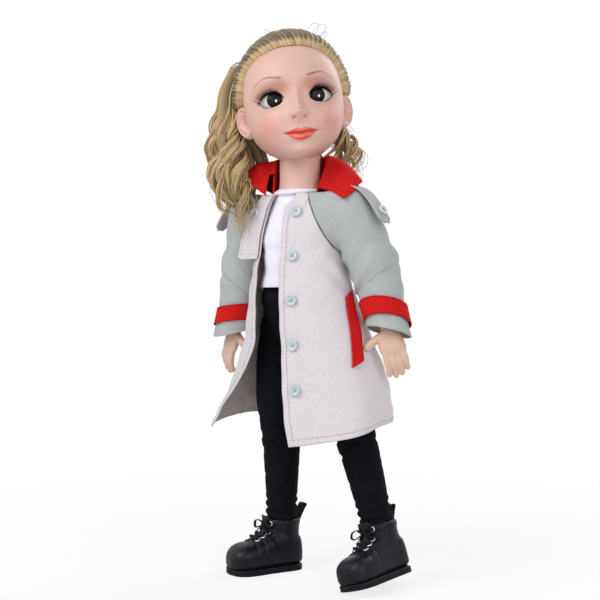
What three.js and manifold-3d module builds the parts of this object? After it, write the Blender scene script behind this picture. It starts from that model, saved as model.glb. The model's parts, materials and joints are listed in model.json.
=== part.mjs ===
// A dressed play doll with jointed limbs, a coat, a T-shirt, trousers and lace-up boots.
// Millimetres, +Z up. The doll faces -Y, its left side is +X, and the floor is at Z = 0.
import * as THREE from "three";
import { mergeVertices } from "three/addons/utils/BufferGeometryUtils.js";
import Module from "manifold-3d";

const wasm = await Module();
wasm.setup();

// Fits and cloth
const SEAM_GAP = 0.3; // between pieces sewn or seated on each other
const RUN_GAP = 0.4; // between pieces that turn on each other
const CUP_GAP = 0.12; // least room between a ball or peg and its seat, facets allowed for
const CLOTH = 1.2; // thickness of the garments
const EASE = 0.5; // room between the skin and a close garment

// Stance, in degrees
const HEAD_TURN = 39;
const HEAD_TILT = 5.5;
const ARM_SPLAY = { left: 18, right: 16 };
const ARM_SWING = { left: 14, right: 10 };
const ELBOW_BEND = { left: 14, right: 12 };
const LEG_SPLAY = { left: 15, right: 0 };
const LEG_TWIST = { left: -10, right: -25 };
const KNEE_BEND = { left: 2, right: 0 };

// Torso
const HIP_HALF_SPACING = 21;
const HIP_BACK = 6.5; // hip pin behind the middle of the torso
const SHOULDER_HALF_SPACING = 39;
const PELVIS_RISE = 12; // torso's lower edge above the hip pin
const CROTCH_HALF_WIDTH = 4.2;
const CROTCH_HALF_DEPTH = 12;
const CROTCH_DROP = 11;
const WAIST_RISE = 34;
const CHEST_RISE = 62;
const SHOULDER_RISE = 74;
const NECK_BASE_RISE = 93;
const PELVIS_HALF_WIDTH = 28;
const WAIST_HALF_WIDTH = 23.5;
const WAIST_HALF_DEPTH = 16.5;
const CHEST_HALF_WIDTH = SHOULDER_HALF_SPACING - 13; // the shoulder balls stand out beside it
const CHEST_HALF_DEPTH = 18.5;
const HIP_PIN_RADIUS = 2;
const PIN_ROOM_RADIUS = 10.6; // open end of the room that the hip pin needs in a leg as it spreads
const PIN_ROOM_LENGTH = 20;
const BORE_REACH = 30; // half-length of the tools that bore through the hips

// Neck and head, measured from the centre of the neck ball
const NECK_RADIUS = 12;
const NECK_BALL_RISE = 115; // above the hip pin
const NECK_BALL_RADIUS = 9.5;
const NECK_POST_RADIUS = 4;
const NECK_KNOB_RADIUS = 5.4;
const NECK_TOP_DROP = 8;
const NECK_SEAT_RISE = 82; // floor of the neck seat above the hip pin
const HEAD_CENTRE_RISE = 35;
const HEAD_CENTRE_FORWARD = 4;
const HEAD_HALF_WIDTH = 33;
const FACE_DEPTH = 36;
const SKULL_DEPTH = 39;
const SKULL_RISE = 43;
const CHIN_DROP = 40;
const EYE_HALF_SPACING = 14;
const EYE_HALF_WIDTH = 10;
const EYE_HALF_HEIGHT = 7;
const EYE_HALF_DEPTH = 6;
const EYE_FORWARD = 27.3;
const EYE_SLANT = 17; // degrees that each eye follows the curve of the face
const HAIR_THICKNESS = 5;

// Arms
const UPPER_ARM_LENGTH = 42;
const FOREARM_LENGTH = 36;
const SHOULDER_BALL_RADIUS = 9.5;
const SHOULDER_PEG_RADIUS = 4.5;
const SHOULDER_PEG_LENGTH = 20;
const SHOULDER_FLANGE_RADIUS = 6.2;
const SHOULDER_FLANGE_LENGTH = 2;
const ELBOW_BALL_RADIUS = 7;
const ELBOW_EAR_REACH = 9;
const WRIST_RADIUS = 5.4;
const WRIST_PEG_RADIUS = 3.2;
const WRIST_PEG_LENGTH = 7;
const WRIST_GAP = 0.6; // between the hand and the forearm that it turns in
const ARM_PIN_RADIUS = 1.4;
const PALM_LENGTH = 15;
const PALM_HALF_WIDTH = 8;
const FINGER_RADIUS = 2;
const FINGER_LENGTH = 16;

// Legs
const THIGH_LENGTH = 78;
const SHIN_LENGTH = 86; // knee to floor, boot included
const HIP_BALL_RADIUS = 12;
const HIP_KNUCKLE_RADIUS = 7;
const THIGH_RADIUS = 13.2;
const KNEE_BALL_RADIUS = 9.5;
const KNEE_EAR_REACH = 11.1;
const LEG_PIN_RADIUS = 1.8;
const CALF_RADIUS = 9.4;
const ANKLE_RADIUS = 6.8;

// Boots
const SOLE_THICKNESS = 4;
const BOOT_HALF_WIDTH = 13;
const BOOT_TOE_REACH = 38.5;
const BOOT_HEEL_REACH = 13;
const SOLE_OVERHANG = 0.5;
const BOOT_HEIGHT = 30; // upper, above the sole
const BOOT_LEATHER = 1.5;
const LACE_RADIUS = 0.9;

// Garments
const SLEEVE_DOME_RADIUS = 15;
const SLEEVE_RADIUS = 14;
const CUFF_RADIUS = 12.8;
const CUFF_STRAP_WIDTH = 10.5;
const CUFF_STRAP_RISE = 10; // lower edge of the strap above the cuff end
const SHIRT_HEM_RISE = 27; // above the hip pin
const KNEE_CLOTH_RADIUS = 13.2;
const TROUSER_HEM_RISE = 35; // above the floor
const COAT_HEM_RISE = 89; // above the floor
const COAT_HEM_HALF_WIDTH = 63;
const COAT_HEM_HALF_DEPTH = 42;
const COLLAR_HEIGHT = 18;
const COLLAR_REACH = 34.5;
const COLLAR_TIP_DROP = 9;
const COLLAR_RAISE = 6; // the leaf on the right stands higher
const COLLAR_TURN_ROOM = 4; // the fold on the right is lower where the jaw passes as the head turns
const BUTTON_RADIUS = 3.7;
const BUTTON_THICKNESS = 1.8;
const BUTTON_COUNT = 5;
const BUTTON_INSET = 9.5; // from the front edge to the middle of a button
const EPAULETTE_HALF_WIDTH = 6;
const WELT_HALF_WIDTH = 4.2;
const WELT_HEIGHT = 46;
const WELT_ANGLE = 76; // degrees from the front of the coat
const WELT_SLANT = 0.45; // degrees for each millimetre of height
const FLAP_WIDTH = 16;
const FLAP_BUTTON_RISE = 74;

const HIP_HEIGHT = THIGH_LENGTH + SHIN_LENGTH;
const SHOULDER_HEIGHT = HIP_HEIGHT + SHOULDER_RISE;
const HIP_DOME_RADIUS = HIP_BALL_RADIUS + 2 * EASE + CLOTH; // top of a trouser leg
const SIDES = { left: 1, right: -1 };

const SKIN = { color: 0xe6beae, roughness: 0.5 };
const COAT = { color: 0xdcd6d8, roughness: 0.75 };
const SLEEVE = { color: 0xaaafac, roughness: 0.8 };
const RED = { color: 0xcd1f1c, roughness: 0.7 };
const BUTTON = { color: 0xc3d4d2, roughness: 0.3 };
const SHIRT = { color: 0xf0eef6, roughness: 0.85 };
const TROUSERS = { color: 0x17171c, roughness: 0.85 };
const BOOT = { color: 0x1a1c21, roughness: 0.4 };
const SOLE = { color: 0x101114, roughness: 0.7 };
const HAIR = { color: 0xb49b69, roughness: 0.5 };
const EYE = { color: 0x2a1a14, roughness: 0.1 };
const PEG = { color: 0xd8cfc6, roughness: 0.45 };
const STEEL = { color: 0x9a9da1, roughness: 0.35, metalness: 1 };

const rad = THREE.MathUtils.degToRad;
const vec = (x, y, z) => new THREE.Vector3(x, y, z);

// Solid of a closed geometry
function solidOf(geometry) {
  geometry.deleteAttribute("normal");
  geometry.deleteAttribute("uv");
  const merged = mergeVertices(geometry, 1e-4);
  const vertProperties = new Float32Array(merged.attributes.position.array);
  const build = (triVerts) => new wasm.Manifold(new wasm.Mesh({ numProp: 3, vertProperties, triVerts }));
  const corners = new Uint32Array(merged.index.array);
  const solid = build(corners);
  return solid.volume() > 0 ? solid : build(corners.map((_, i) => corners[i - (i % 3) + (2 - (i % 3))]));
}

// Geometry of a solid
function geometryOf(solid) {
  const mesh = solid.getMesh();
  const geometry = new THREE.BufferGeometry();
  const positions = new Float32Array(mesh.numVert * 3);
  for (let i = 0; i < mesh.numVert; i += 1) {
    for (let j = 0; j < 3; j += 1) {
      positions[3 * i + j] = mesh.vertProperties[mesh.numProp * i + j];
    }
  }
  geometry.setAttribute("position", new THREE.BufferAttribute(positions, 3));
  geometry.setIndex(new THREE.BufferAttribute(new Uint32Array(mesh.triVerts), 1));
  geometry.computeVertexNormals();
  return geometry;
}

function indexed(points, triangles) {
  const geometry = new THREE.BufferGeometry().setFromPoints(points);
  geometry.setIndex(triangles.flat());
  return geometry;
}

const middle = (points) => points.reduce((sum, p) => sum.add(p), vec(0, 0, 0)).divideScalar(points.length);

// Two triangles between matching places of two rings
function band(triangles, a, b, count) {
  for (let j = 0; j < count; j += 1) {
    const k = (j + 1) % count;
    triangles.push([a + j, a + k, b + k], [a + j, b + k, b + j]);
  }
}

// Solid skin through a row of rings, closed with a fan at both ends
function loft(rings) {
  const count = rings[0].length;
  const last = rings.length - 1;
  const points = [...rings.flat(), middle(rings[0]), middle(rings[last])];
  const triangles = [];
  for (let i = 0; i < last; i += 1) {
    band(triangles, i * count, (i + 1) * count, count);
  }
  for (let j = 0; j < count; j += 1) {
    const k = (j + 1) % count;
    triangles.push([points.length - 2, k, j], [points.length - 1, last * count + j, last * count + k]);
  }
  return solidOf(indexed(points, triangles));
}

// Open tube of cloth between an outer and an inner row of rings
function hose(outer, inner) {
  const rings = [...outer, ...inner.toReversed()];
  const count = outer[0].length;
  const triangles = [];
  for (let i = 0; i < rings.length; i += 1) {
    band(triangles, i * count, ((i + 1) % rings.length) * count, count);
  }
  return solidOf(indexed(rings.flat(), triangles));
}

// Sheet with thickness between two grids of points
function slab(outer, inner) {
  const rows = outer.length;
  const cols = outer[0].length;
  const points = [...outer.flat(), ...inner.flat()];
  const back = rows * cols;
  const triangles = [];
  for (let i = 0; i + 1 < rows; i += 1) {
    for (let j = 0; j + 1 < cols; j += 1) {
      const a = i * cols + j;
      const d = a + cols;
      triangles.push([a, a + 1, d + 1], [a, d + 1, d]);
      triangles.push([back + a, back + d + 1, back + a + 1], [back + a, back + d, back + d + 1]);
    }
  }
  const rim = [];
  for (let j = 0; j < cols; j += 1) rim.push(j);
  for (let i = 1; i < rows; i += 1) rim.push(i * cols + cols - 1);
  for (let j = cols - 2; j >= 0; j -= 1) rim.push((rows - 1) * cols + j);
  for (let i = rows - 2; i > 0; i -= 1) rim.push(i * cols);
  rim.forEach((a, n) => {
    const b = rim[(n + 1) % rim.length];
    triangles.push([a, back + b, b], [a, back + a, back + b]);
  });
  return solidOf(indexed(points, triangles));
}

// Ring at one height, with its own depth to the front and to the back
function ring({ z, x = 0, y = 0, a, front, back = front, power = 2 }, count) {
  return Array.from({ length: count }, (_, j) => {
    const turn = (2 * Math.PI * j) / count;
    const across = Math.sin(turn);
    const along = Math.cos(turn);
    const shape = (value) => Math.sign(value) * Math.abs(value) ** (2 / power);
    return vec(x + a * shape(across), y - (along > 0 ? front : back) * shape(along), z);
  });
}

// Rings for rows of height, half-width, half-depth and shift to the back
function ringsOf(rows, grow, count) {
  return rows.map(([z, a, b, y = 0]) => ring({ z, y, a: a + grow, front: b + grow }, count));
}

// Round tube along a line of points, with a radius for each place from 0 to 1
function tube(points, radius, sides, steps) {
  const curve = new THREE.CatmullRomCurve3(points);
  const frames = curve.computeFrenetFrames(steps, false);
  const rings = frames.tangents.map((_, i) => {
    const r = radius(i / steps);
    const centre = curve.getPoint(i / steps);
    return Array.from({ length: sides }, (__, j) => {
      const turn = (2 * Math.PI * j) / sides;
      const out = frames.normals[i].clone().multiplyScalar(r * Math.cos(turn));
      return out.addScaledVector(frames.binormals[i], r * Math.sin(turn)).add(centre);
    });
  });
  return loft(rings);
}

const join = (...solids) => solids.reduce((whole, solid) => whole.add(solid));
const cut = (solid, ...tools) => tools.reduce((rest, tool) => rest.subtract(tool), solid);

function ball(radius, x = 0, y = 0, z = 0, segments = 10) {
  const geometry = new THREE.SphereGeometry(radius, segments, segments / 2);
  return solidOf(geometry.rotateX(Math.PI / 2).translate(x, y, z));
}

// Room in which a ball of this radius turns freely, its flat facets allowed for
function cup(radius, x = 0, y = 0, z = 0, segments = 12) {
  return ball((radius + CUP_GAP) / Math.cos(Math.PI / segments) ** 2, x, y, z, segments);
}

function egg(a, b, c, x, y, z) {
  const geometry = new THREE.SphereGeometry(1, 10, 6);
  return solidOf(geometry.rotateX(Math.PI / 2).scale(a, b, c).translate(x, y, z));
}

// Rod along X between two places
function rodX(radius, x0, x1, y, z, segments = 8) {
  const geometry = new THREE.CylinderGeometry(radius, radius, Math.abs(x1 - x0), segments);
  return solidOf(geometry.rotateZ(Math.PI / 2).translate((x0 + x1) / 2, y, z));
}

// Radius of an eight-sided bore in which a rod of this radius turns freely
const boreFor = (radius) => (radius + CUP_GAP) / Math.cos(Math.PI / 8);

// Rod along Z between two heights, with a radius at each
function rodZ(bottomRadius, topRadius, z0, z1, segments = 12) {
  const geometry = new THREE.CylinderGeometry(topRadius, bottomRadius, z1 - z0, segments);
  return solidOf(geometry.rotateX(Math.PI / 2).translate(0, 0, (z0 + z1) / 2));
}

function block(x0, x1, y0, y1, z0, z1) {
  const geometry = new THREE.BoxGeometry(x1 - x0, y1 - y0, z1 - z0);
  return solidOf(geometry.translate((x0 + x1) / 2, (y0 + y1) / 2, (z0 + z1) / 2));
}

function piece(parent, name, solid, look) {
  const mesh = new THREE.Mesh(geometryOf(solid), new THREE.MeshStandardMaterial(look));
  mesh.name = name;
  parent.add(mesh);
  return mesh;
}

function pivot(parent, name, position, rotation = new THREE.Quaternion()) {
  const group = new THREE.Group();
  group.name = name;
  group.position.copy(position);
  group.quaternion.copy(rotation);
  parent.add(group);
  return group;
}

const turnX = (degrees) => new THREE.Quaternion().setFromAxisAngle(vec(1, 0, 0), rad(degrees));
const turnY = (degrees) => new THREE.Quaternion().setFromAxisAngle(vec(0, 1, 0), rad(degrees));
const turnZ = (degrees) => new THREE.Quaternion().setFromAxisAngle(vec(0, 0, 1), rad(degrees));

// Torso

function torsoRows() {
  const ribsHalfWidth = (WAIST_HALF_WIDTH + CHEST_HALF_WIDTH) / 2;
  const rows = [
    [PELVIS_RISE, PELVIS_HALF_WIDTH - 2, 17, 1],
    [PELVIS_RISE + 7, PELVIS_HALF_WIDTH, 18.5, 1],
    [WAIST_RISE, WAIST_HALF_WIDTH, WAIST_HALF_DEPTH, 0],
    [(WAIST_RISE + CHEST_RISE) / 2, ribsHalfWidth, CHEST_HALF_DEPTH - 1, -0.5],
    [CHEST_RISE, CHEST_HALF_WIDTH, CHEST_HALF_DEPTH, -0.5],
    [SHOULDER_RISE, CHEST_HALF_WIDTH - 1, 16, 0],
    [SHOULDER_RISE + 10, 19.5, 13.5, 0],
    [NECK_BASE_RISE, NECK_RADIUS + 1.4, NECK_RADIUS + 0.8, 0],
  ];
  return rows.map(([rise, a, b, y]) => [HIP_HEIGHT + rise, a, b, y]);
}

// Half-width, half-depth and shift of the torso at a height above the hip pin
function torsoAt(rise) {
  const rows = torsoRows();
  const z = HIP_HEIGHT + rise;
  const n = rows.findIndex((row) => row[0] >= z);
  const share = (z - rows[n - 1][0]) / (rows[n][0] - rows[n - 1][0]);
  return rows[n].map((value, i) => THREE.MathUtils.lerp(rows[n - 1][i], value, share));
}

function crotch(grow) {
  const low = HIP_HEIGHT - CROTCH_DROP - grow;
  const high = HIP_HEIGHT + PELVIS_RISE + 2;
  const size = { a: CROTCH_HALF_WIDTH + grow, front: CROTCH_HALF_DEPTH + grow, y: HIP_BACK };
  return loft([ring({ z: low, ...size, front: size.front - 4 }, 12), ring({ z: low + 5, ...size }, 12),
    ring({ z: high, ...size }, 12)]);
}

function torsoSolid(grow, count) {
  return join(loft(ringsOf(torsoRows(), grow, count)), crotch(grow));
}

function hipBalls(radius) {
  return [-1, 1].map((side) => ball(radius, side * HIP_HALF_SPACING, HIP_BACK, HIP_HEIGHT, 12));
}

function shoulderRods(radius) {
  const reach = SHOULDER_HALF_SPACING;
  return rodX(radius, -reach, reach, 0, SHOULDER_HEIGHT);
}

function shoulderFlanges() {
  const inner = SHOULDER_HALF_SPACING - SHOULDER_PEG_LENGTH - RUN_GAP;
  const outer = inner + SHOULDER_FLANGE_LENGTH + 2 * RUN_GAP;
  const radius = boreFor(SHOULDER_FLANGE_RADIUS);
  return [-1, 1].map((side) => rodX(radius, side * inner, side * outer, 0, SHOULDER_HEIGHT));
}

function buildTorso(root) {
  const bores = [...hipBalls(HIP_DOME_RADIUS + 3 * RUN_GAP), shoulderRods(boreFor(SHOULDER_PEG_RADIUS)),
    ...shoulderFlanges(), rodX(HIP_PIN_RADIUS + SEAM_GAP, -BORE_REACH, BORE_REACH, HIP_BACK, HIP_HEIGHT)];
  const seatRadius = NECK_RADIUS - 2;
  const seatFloor = HIP_HEIGHT + NECK_SEAT_RISE;
  const neckSeat = rodZ(seatRadius, seatRadius, seatFloor, HIP_HEIGHT + NECK_BALL_RISE);
  const whole = cut(torsoSolid(0, 14), ...bores, neckSeat);
  piece(root, "torso_front", cut(whole, block(-80, 80, -SEAM_GAP / 2, 80, 0, 400)), SKIN);
  piece(root, "torso_back", cut(whole, block(-80, 80, -80, SEAM_GAP / 2, 0, 400)), SKIN);

  const ballHeight = HIP_HEIGHT + NECK_BALL_RISE;
  const neckTop = ballHeight - NECK_TOP_DROP;
  const base = HIP_HEIGHT + NECK_BASE_RISE + SEAM_GAP;
  const plug = rodZ(seatRadius - SEAM_GAP, seatRadius - SEAM_GAP, seatFloor + SEAM_GAP, base + 1);
  const neck = rodZ(NECK_RADIUS + 0.8, NECK_RADIUS, base, neckTop, 16);
  const post = rodZ(NECK_POST_RADIUS, NECK_POST_RADIUS, neckTop - 1, ballHeight);
  piece(root, "neck_stem", join(plug, neck, post, ball(NECK_KNOB_RADIUS, 0, 0, ballHeight, 12)), SKIN);
  const pinReach = HIP_HALF_SPACING + 5;
  piece(root, "hip_pin", rodX(HIP_PIN_RADIUS, -pinReach, pinReach, HIP_BACK, HIP_HEIGHT), STEEL);
}

// Clothes on the torso

function buildShirt(root) {
  const overBand = EASE + CLOTH + SEAM_GAP;
  const rows = torsoRows();
  const neckline = [HIP_HEIGHT + NECK_BASE_RISE - 1, NECK_RADIUS + 1.9, NECK_RADIUS + 1.3, 0];
  const hem = [torsoAt(SHIRT_HEM_RISE), torsoAt(WAIST_RISE + 2)];
  const layer = (grow) => [...ringsOf(hem, grow + overBand, 14),
    ...ringsOf([...rows.slice(3, -1), neckline], grow + EASE, 14)];
  piece(root, "t_shirt", cut(hose(layer(CLOTH), layer(0)), shoulderRods(SHOULDER_PEG_RADIUS + 1)), SHIRT);
}

function buildSeat(root) {
  const rows = torsoRows().slice(0, 2);
  const waist = HIP_HEIGHT + WAIST_RISE + 1;
  const under = [[HIP_HEIGHT - CROTCH_DROP - 3, CROTCH_HALF_WIDTH + 6, CROTCH_HALF_DEPTH - 3, 1],
    [HIP_HEIGHT - 3, PELVIS_HALF_WIDTH - 6, CROTCH_HALF_DEPTH + 2, 1]];
  const above = [HIP_HEIGHT + WAIST_RISE, waist].map((z) => [z, WAIST_HALF_WIDTH, WAIST_HALF_DEPTH, 0]);
  const outer = loft(ringsOf([...under, ...rows, ...above], EASE + CLOTH, 14));
  const room = hipBalls(HIP_DOME_RADIUS + 3 * RUN_GAP);
  const legs = Object.values(SIDES).map((side) => {
    const shape = loft(ringsOf(thighRows(), EASE + CLOTH + 3 * RUN_GAP, 12));
    return turned(shape, legTurn(side), hipPlace(side));
  });
  const pinBore = rodX(HIP_PIN_RADIUS + EASE, -BORE_REACH, BORE_REACH, HIP_BACK, HIP_HEIGHT);
  piece(root, "trouser_seat", cut(outer, torsoSolid(2 * SEAM_GAP, 14), ...room, ...legs, pinBore), TROUSERS);
}

// Coat surface: height above the hip pin, half-width, half-depth and swing to the back
const COAT_ROWS = [
  [COAT_HEM_RISE - HIP_HEIGHT, COAT_HEM_HALF_WIDTH, COAT_HEM_HALF_DEPTH, 3],
  [-46, 58, 40.5, 7],
  [-19, 51, 36.5, 7],
  [6, 42.5, 32.5, 4],
  [26, 37.5, 28.5, 1],
  [39, 34.5, 26, 0],
  [51, CHEST_HALF_WIDTH + 5.7, 24.5, 0],
  [64, CHEST_HALF_WIDTH + 5.5, 23, 0],
  [76, CHEST_HALF_WIDTH + 5.5, 20.5, 0],
  [NECK_BASE_RISE - 10, CHEST_HALF_WIDTH + 2.5, NECK_RADIUS + 6.8, 0],
  [NECK_BASE_RISE - 4, NECK_RADIUS + 8.5, NECK_RADIUS + 5.6, 0],
];
const COAT_SIDE_SWING = 0.35; // share of the swing that goes to the doll's left
const COAT_HEM_LIFT = 12; // rise of the hem from the front to the back
const COAT_HEIGHTS = COAT_ROWS.map((row) => row[0]);
const COAT_TOP = COAT_HEIGHTS.at(-1);
const COAT_BOTTOM = COAT_HEIGHTS[0];
const SIDE_SEAM = 100; // degrees from the front
const SEAM_TURN = 0.3; // half of the gap at a side seam, in degrees
const FOLD_DEPTH = 2.6;
const FOLD_COUNT = 6;

// How far down the skirt of the coat a height is, from 0 at the hip pin to 1 at the hem
const coatDrop = (rise) => THREE.MathUtils.clamp(rise / COAT_BOTTOM, 0, 1);

// Half-width, half-depth and swing of the coat at a height above the hip pin
function coatSize(rise) {
  const n = Math.max(1, COAT_HEIGHTS.findIndex((height) => height >= rise));
  const share = (rise - COAT_HEIGHTS[n - 1]) / (COAT_HEIGHTS[n] - COAT_HEIGHTS[n - 1]);
  return [1, 2, 3].map((i) => THREE.MathUtils.lerp(COAT_ROWS[n - 1][i], COAT_ROWS[n][i], share));
}

// Point on the coat at an angle from the front, towards the doll's left, and a height
function coatPoint(degrees, rise, lift) {
  const [a, b, swing] = coatSize(rise);
  const drop = coatDrop(rise);
  const out = lift + FOLD_DEPTH * drop * drop * Math.cos(rad(degrees * FOLD_COUNT));
  const x = COAT_SIDE_SWING * swing + (a + out) * Math.sin(rad(degrees));
  const y = swing - (b + out) * Math.cos(rad(degrees));
  const hemLift = COAT_HEM_LIFT * drop * drop * (0.5 - 0.5 * Math.cos(rad(degrees)));
  return vec(x, y, HIP_HEIGHT + rise + hemLift);
}

// Angles of the two front edges; the right front is thrown open towards the hem
const neckSpread = (rise) => 20 * THREE.MathUtils.smoothstep(rise, COAT_TOP - 11, COAT_TOP);
const leftEdge = (rise) => 3.5 + 12 * coatDrop(rise) ** 2 + neckSpread(rise);
const chestSpread = (rise) => 13 * THREE.MathUtils.smoothstep(85 - rise, 0, 35);
const thrownOpen = (rise) => 18 * THREE.MathUtils.smoothstep(-rise, 10, -COAT_BOTTOM);
const rightEdge = (rise) => -(23 + chestSpread(rise) + thrownOpen(rise));

// Sheet on the coat between two angles and two heights
function coatPanel(from, to, low, high, cols, lift, thickness) {
  const rises = [low, ...COAT_HEIGHTS.filter((height) => height > low && height < high), high];
  const grid = (offset) => rises.map((rise) => Array.from({ length: cols + 1 }, (_, j) => {
    const degrees = THREE.MathUtils.lerp(from(rise), to(rise), j / cols);
    return coatPoint(degrees, rise, offset);
  }));
  return slab(grid(lift), grid(lift - thickness));
}

// Prism that holds the raglan shoulder of one side
function raglanBlock(side, grow) {
  const top = NECK_BASE_RISE - 1;
  const underarm = SHOULDER_RISE - 26;
  const neck = CHEST_HALF_WIDTH - 12;
  const armpit = CHEST_HALF_WIDTH + 7;
  const outside = SHOULDER_HALF_SPACING + 41;
  const corners = [[neck, top], [outside, top], [outside, underarm - 4], [armpit, underarm]];
  const shape = new THREE.Shape(corners.map(([x, rise]) => new THREE.Vector2(x - grow, HIP_HEIGHT + rise)));
  const geometry = new THREE.ExtrudeGeometry(shape, { depth: 100, bevelEnabled: false });
  geometry.translate(0, 0, -50).rotateX(Math.PI / 2);
  return side > 0 ? solidOf(geometry) : solidOf(geometry).mirror([1, 0, 0]);
}

// Rows of the upper sleeve: height along the arm and radius
function sleeveRows() {
  const r = SLEEVE_DOME_RADIUS;
  const dome = [78, 52, 24].map((up) => [r * Math.sin(rad(up)), r * Math.cos(rad(up))]);
  const middle = [-UPPER_ARM_LENGTH + 8, SLEEVE_RADIUS - 0.6];
  return [...dome, [-6, r - 0.8], [-20, SLEEVE_RADIUS], middle, [-UPPER_ARM_LENGTH, SLEEVE_RADIUS]];
}

const armTurn = (name) => turnX(ARM_SWING[name]).multiply(turnY(-SIDES[name] * ARM_SPLAY[name]));
const shoulderPlace = (name) => vec(SIDES[name] * SHOULDER_HALF_SPACING, 0, SHOULDER_HEIGHT);

// Room for both sleeves in the coat
function armholeTools() {
  return Object.keys(SIDES).flatMap((name) => {
    const rings = sleeveRows().map(([z, r]) => ring({ z, a: r + RUN_GAP, front: r + RUN_GAP }, 12));
    const at = shoulderPlace(name);
    return [ball(SLEEVE_DOME_RADIUS + RUN_GAP, at.x, at.y, at.z, 12), turned(loft(rings), armTurn(name), at)];
  });
}

function buildCoat(root) {
  const armholes = armholeTools();
  const raglans = Object.values(SIDES).map((side) => raglanBlock(side, SEAM_GAP));
  const away = [...armholes, ...raglans];
  const whole = (from, to, cols) => coatPanel(from, to, COAT_BOTTOM, COAT_TOP, cols, 0, CLOTH);
  const frontLimit = SIDE_SEAM - SEAM_TURN;
  const backLimit = SIDE_SEAM + SEAM_TURN;
  const leftFront = whole(leftEdge, () => frontLimit, 7);
  const rightFront = whole(() => -frontLimit, rightEdge, 6);
  const back = whole(() => backLimit, () => 360 - backLimit, 13);
  piece(root, "coat_left_front", cut(leftFront, ...away), COAT);
  piece(root, "coat_right_front", cut(rightFront, ...away), COAT);
  piece(root, "coat_back", cut(back, ...away), COAT);
  for (const [name, side] of Object.entries(SIDES)) {
    const yoke = coatPanel(() => 25, () => 155, 40, COAT_TOP, 8, 0, CLOTH);
    const turnedYoke = side > 0 ? yoke : yoke.mirror([1, 0, 0]);
    piece(root, `raglan_${name}`, cut(turnedYoke.intersect(raglanBlock(side, 0)), ...armholes), SLEEVE);
  }
}

// Fold-over collar, open at the front
function buildCollar(root) {
  const columns = 14;
  const from = 30;
  const base = COAT_TOP + SEAM_GAP;
  const profile = (degrees) => {
    const behind = THREE.MathUtils.smoothstep(Math.abs(180 - degrees), 40, 110);
    const jawRoom = COLLAR_TURN_ROOM * THREE.MathUtils.smoothstep(degrees, 225, 265);
    const top = base + COLLAR_HEIGHT + 4.8 * (1 - behind) - jawRoom;
    const tip = COLLAR_TIP_DROP * THREE.MathUtils.smoothstep(Math.abs(180 - degrees), 95, 140);
    const raised = COLLAR_RAISE * THREE.MathUtils.smoothstep(degrees, 190, 250);
    return new THREE.CubicBezierCurve(new THREE.Vector2(NECK_RADIUS + 5.8, base), new THREE.Vector2(16, top + 5),
      new THREE.Vector2(22, top + 5), new THREE.Vector2(COLLAR_REACH, base + 5 - tip + raised));
  };
  const grid = (side) => Array.from({ length: columns + 1 }, (_, i) => {
    const degrees = THREE.MathUtils.lerp(from, 360 - from, i / columns);
    const curve = profile(degrees);
    return Array.from({ length: 6 }, (__, j) => {
      const place = curve.getPoint(j / 5);
      const along = curve.getTangent(j / 5);
      const r = place.x + side * along.y * CLOTH;
      const rise = place.y - side * along.x * CLOTH;
      return vec(r * Math.sin(rad(degrees)), -0.92 * r * Math.cos(rad(degrees)), HIP_HEIGHT + rise);
    });
  });
  piece(root, "collar", slab(grid(0), grid(1)), RED);
}

// Disc of a button with a raised rim, facing -Y before it is turned
function buttonSolid() {
  const r = BUTTON_RADIUS;
  const t = BUTTON_THICKNESS;
  const profile = [[0, 0], [r, 0], [r, t - 0.3], [r - 0.6, t], [r - 1.4, t - 0.6], [0, t - 0.7]];
  const points = profile.map(([x, y]) => new THREE.Vector2(x, y));
  return solidOf(new THREE.LatheGeometry(points, 8));
}

// Turns a solid built about the origin and carries it to a place
function turned(solid, quaternion, place) {
  const matrix = new THREE.Matrix4().compose(place, quaternion, vec(1, 1, 1));
  return solid.transform(matrix.toArray());
}

// Turn that lays a piece built facing +Y on the coat
function coatFacing(degrees, rise) {
  const place = coatPoint(degrees, rise, 0);
  const side = coatPoint(degrees + 2, rise, 0).sub(place);
  const up = coatPoint(degrees, rise + 1, 0).sub(place);
  return new THREE.Quaternion().setFromUnitVectors(vec(0, 1, 0), side.cross(up).normalize());
}

// Flap sewn along the right front edge; its outer half stands off the chest
function stormFlap() {
  const outward = vec(-0.97, 0.24, 0).normalize();
  const facing = vec(-outward.y, outward.x, 0);
  const edge = (rise, lift) => coatPoint(rightEdge(rise) - 1, rise, 0).addScaledVector(facing, lift);
  const grid = (lift) => [46, 60, 74, COAT_TOP - 5].map((rise) => {
    const width = FLAP_WIDTH * (rise > 80 ? 0.65 : 1);
    return [0, 0.3, 0.65, 1].map((share) => edge(rise, lift).addScaledVector(outward, width * share));
  });
  const outer = SEAM_GAP + 0.4 + CLOTH;
  const place = edge(FLAP_BUTTON_RISE, outer - 0.4).addScaledVector(outward, 0.66 * FLAP_WIDTH);
  const turn = new THREE.Quaternion().setFromUnitVectors(vec(0, 1, 0), facing);
  return join(slab(grid(outer), grid(outer - CLOTH)), turned(buttonSolid(), turn, place));
}

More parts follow.
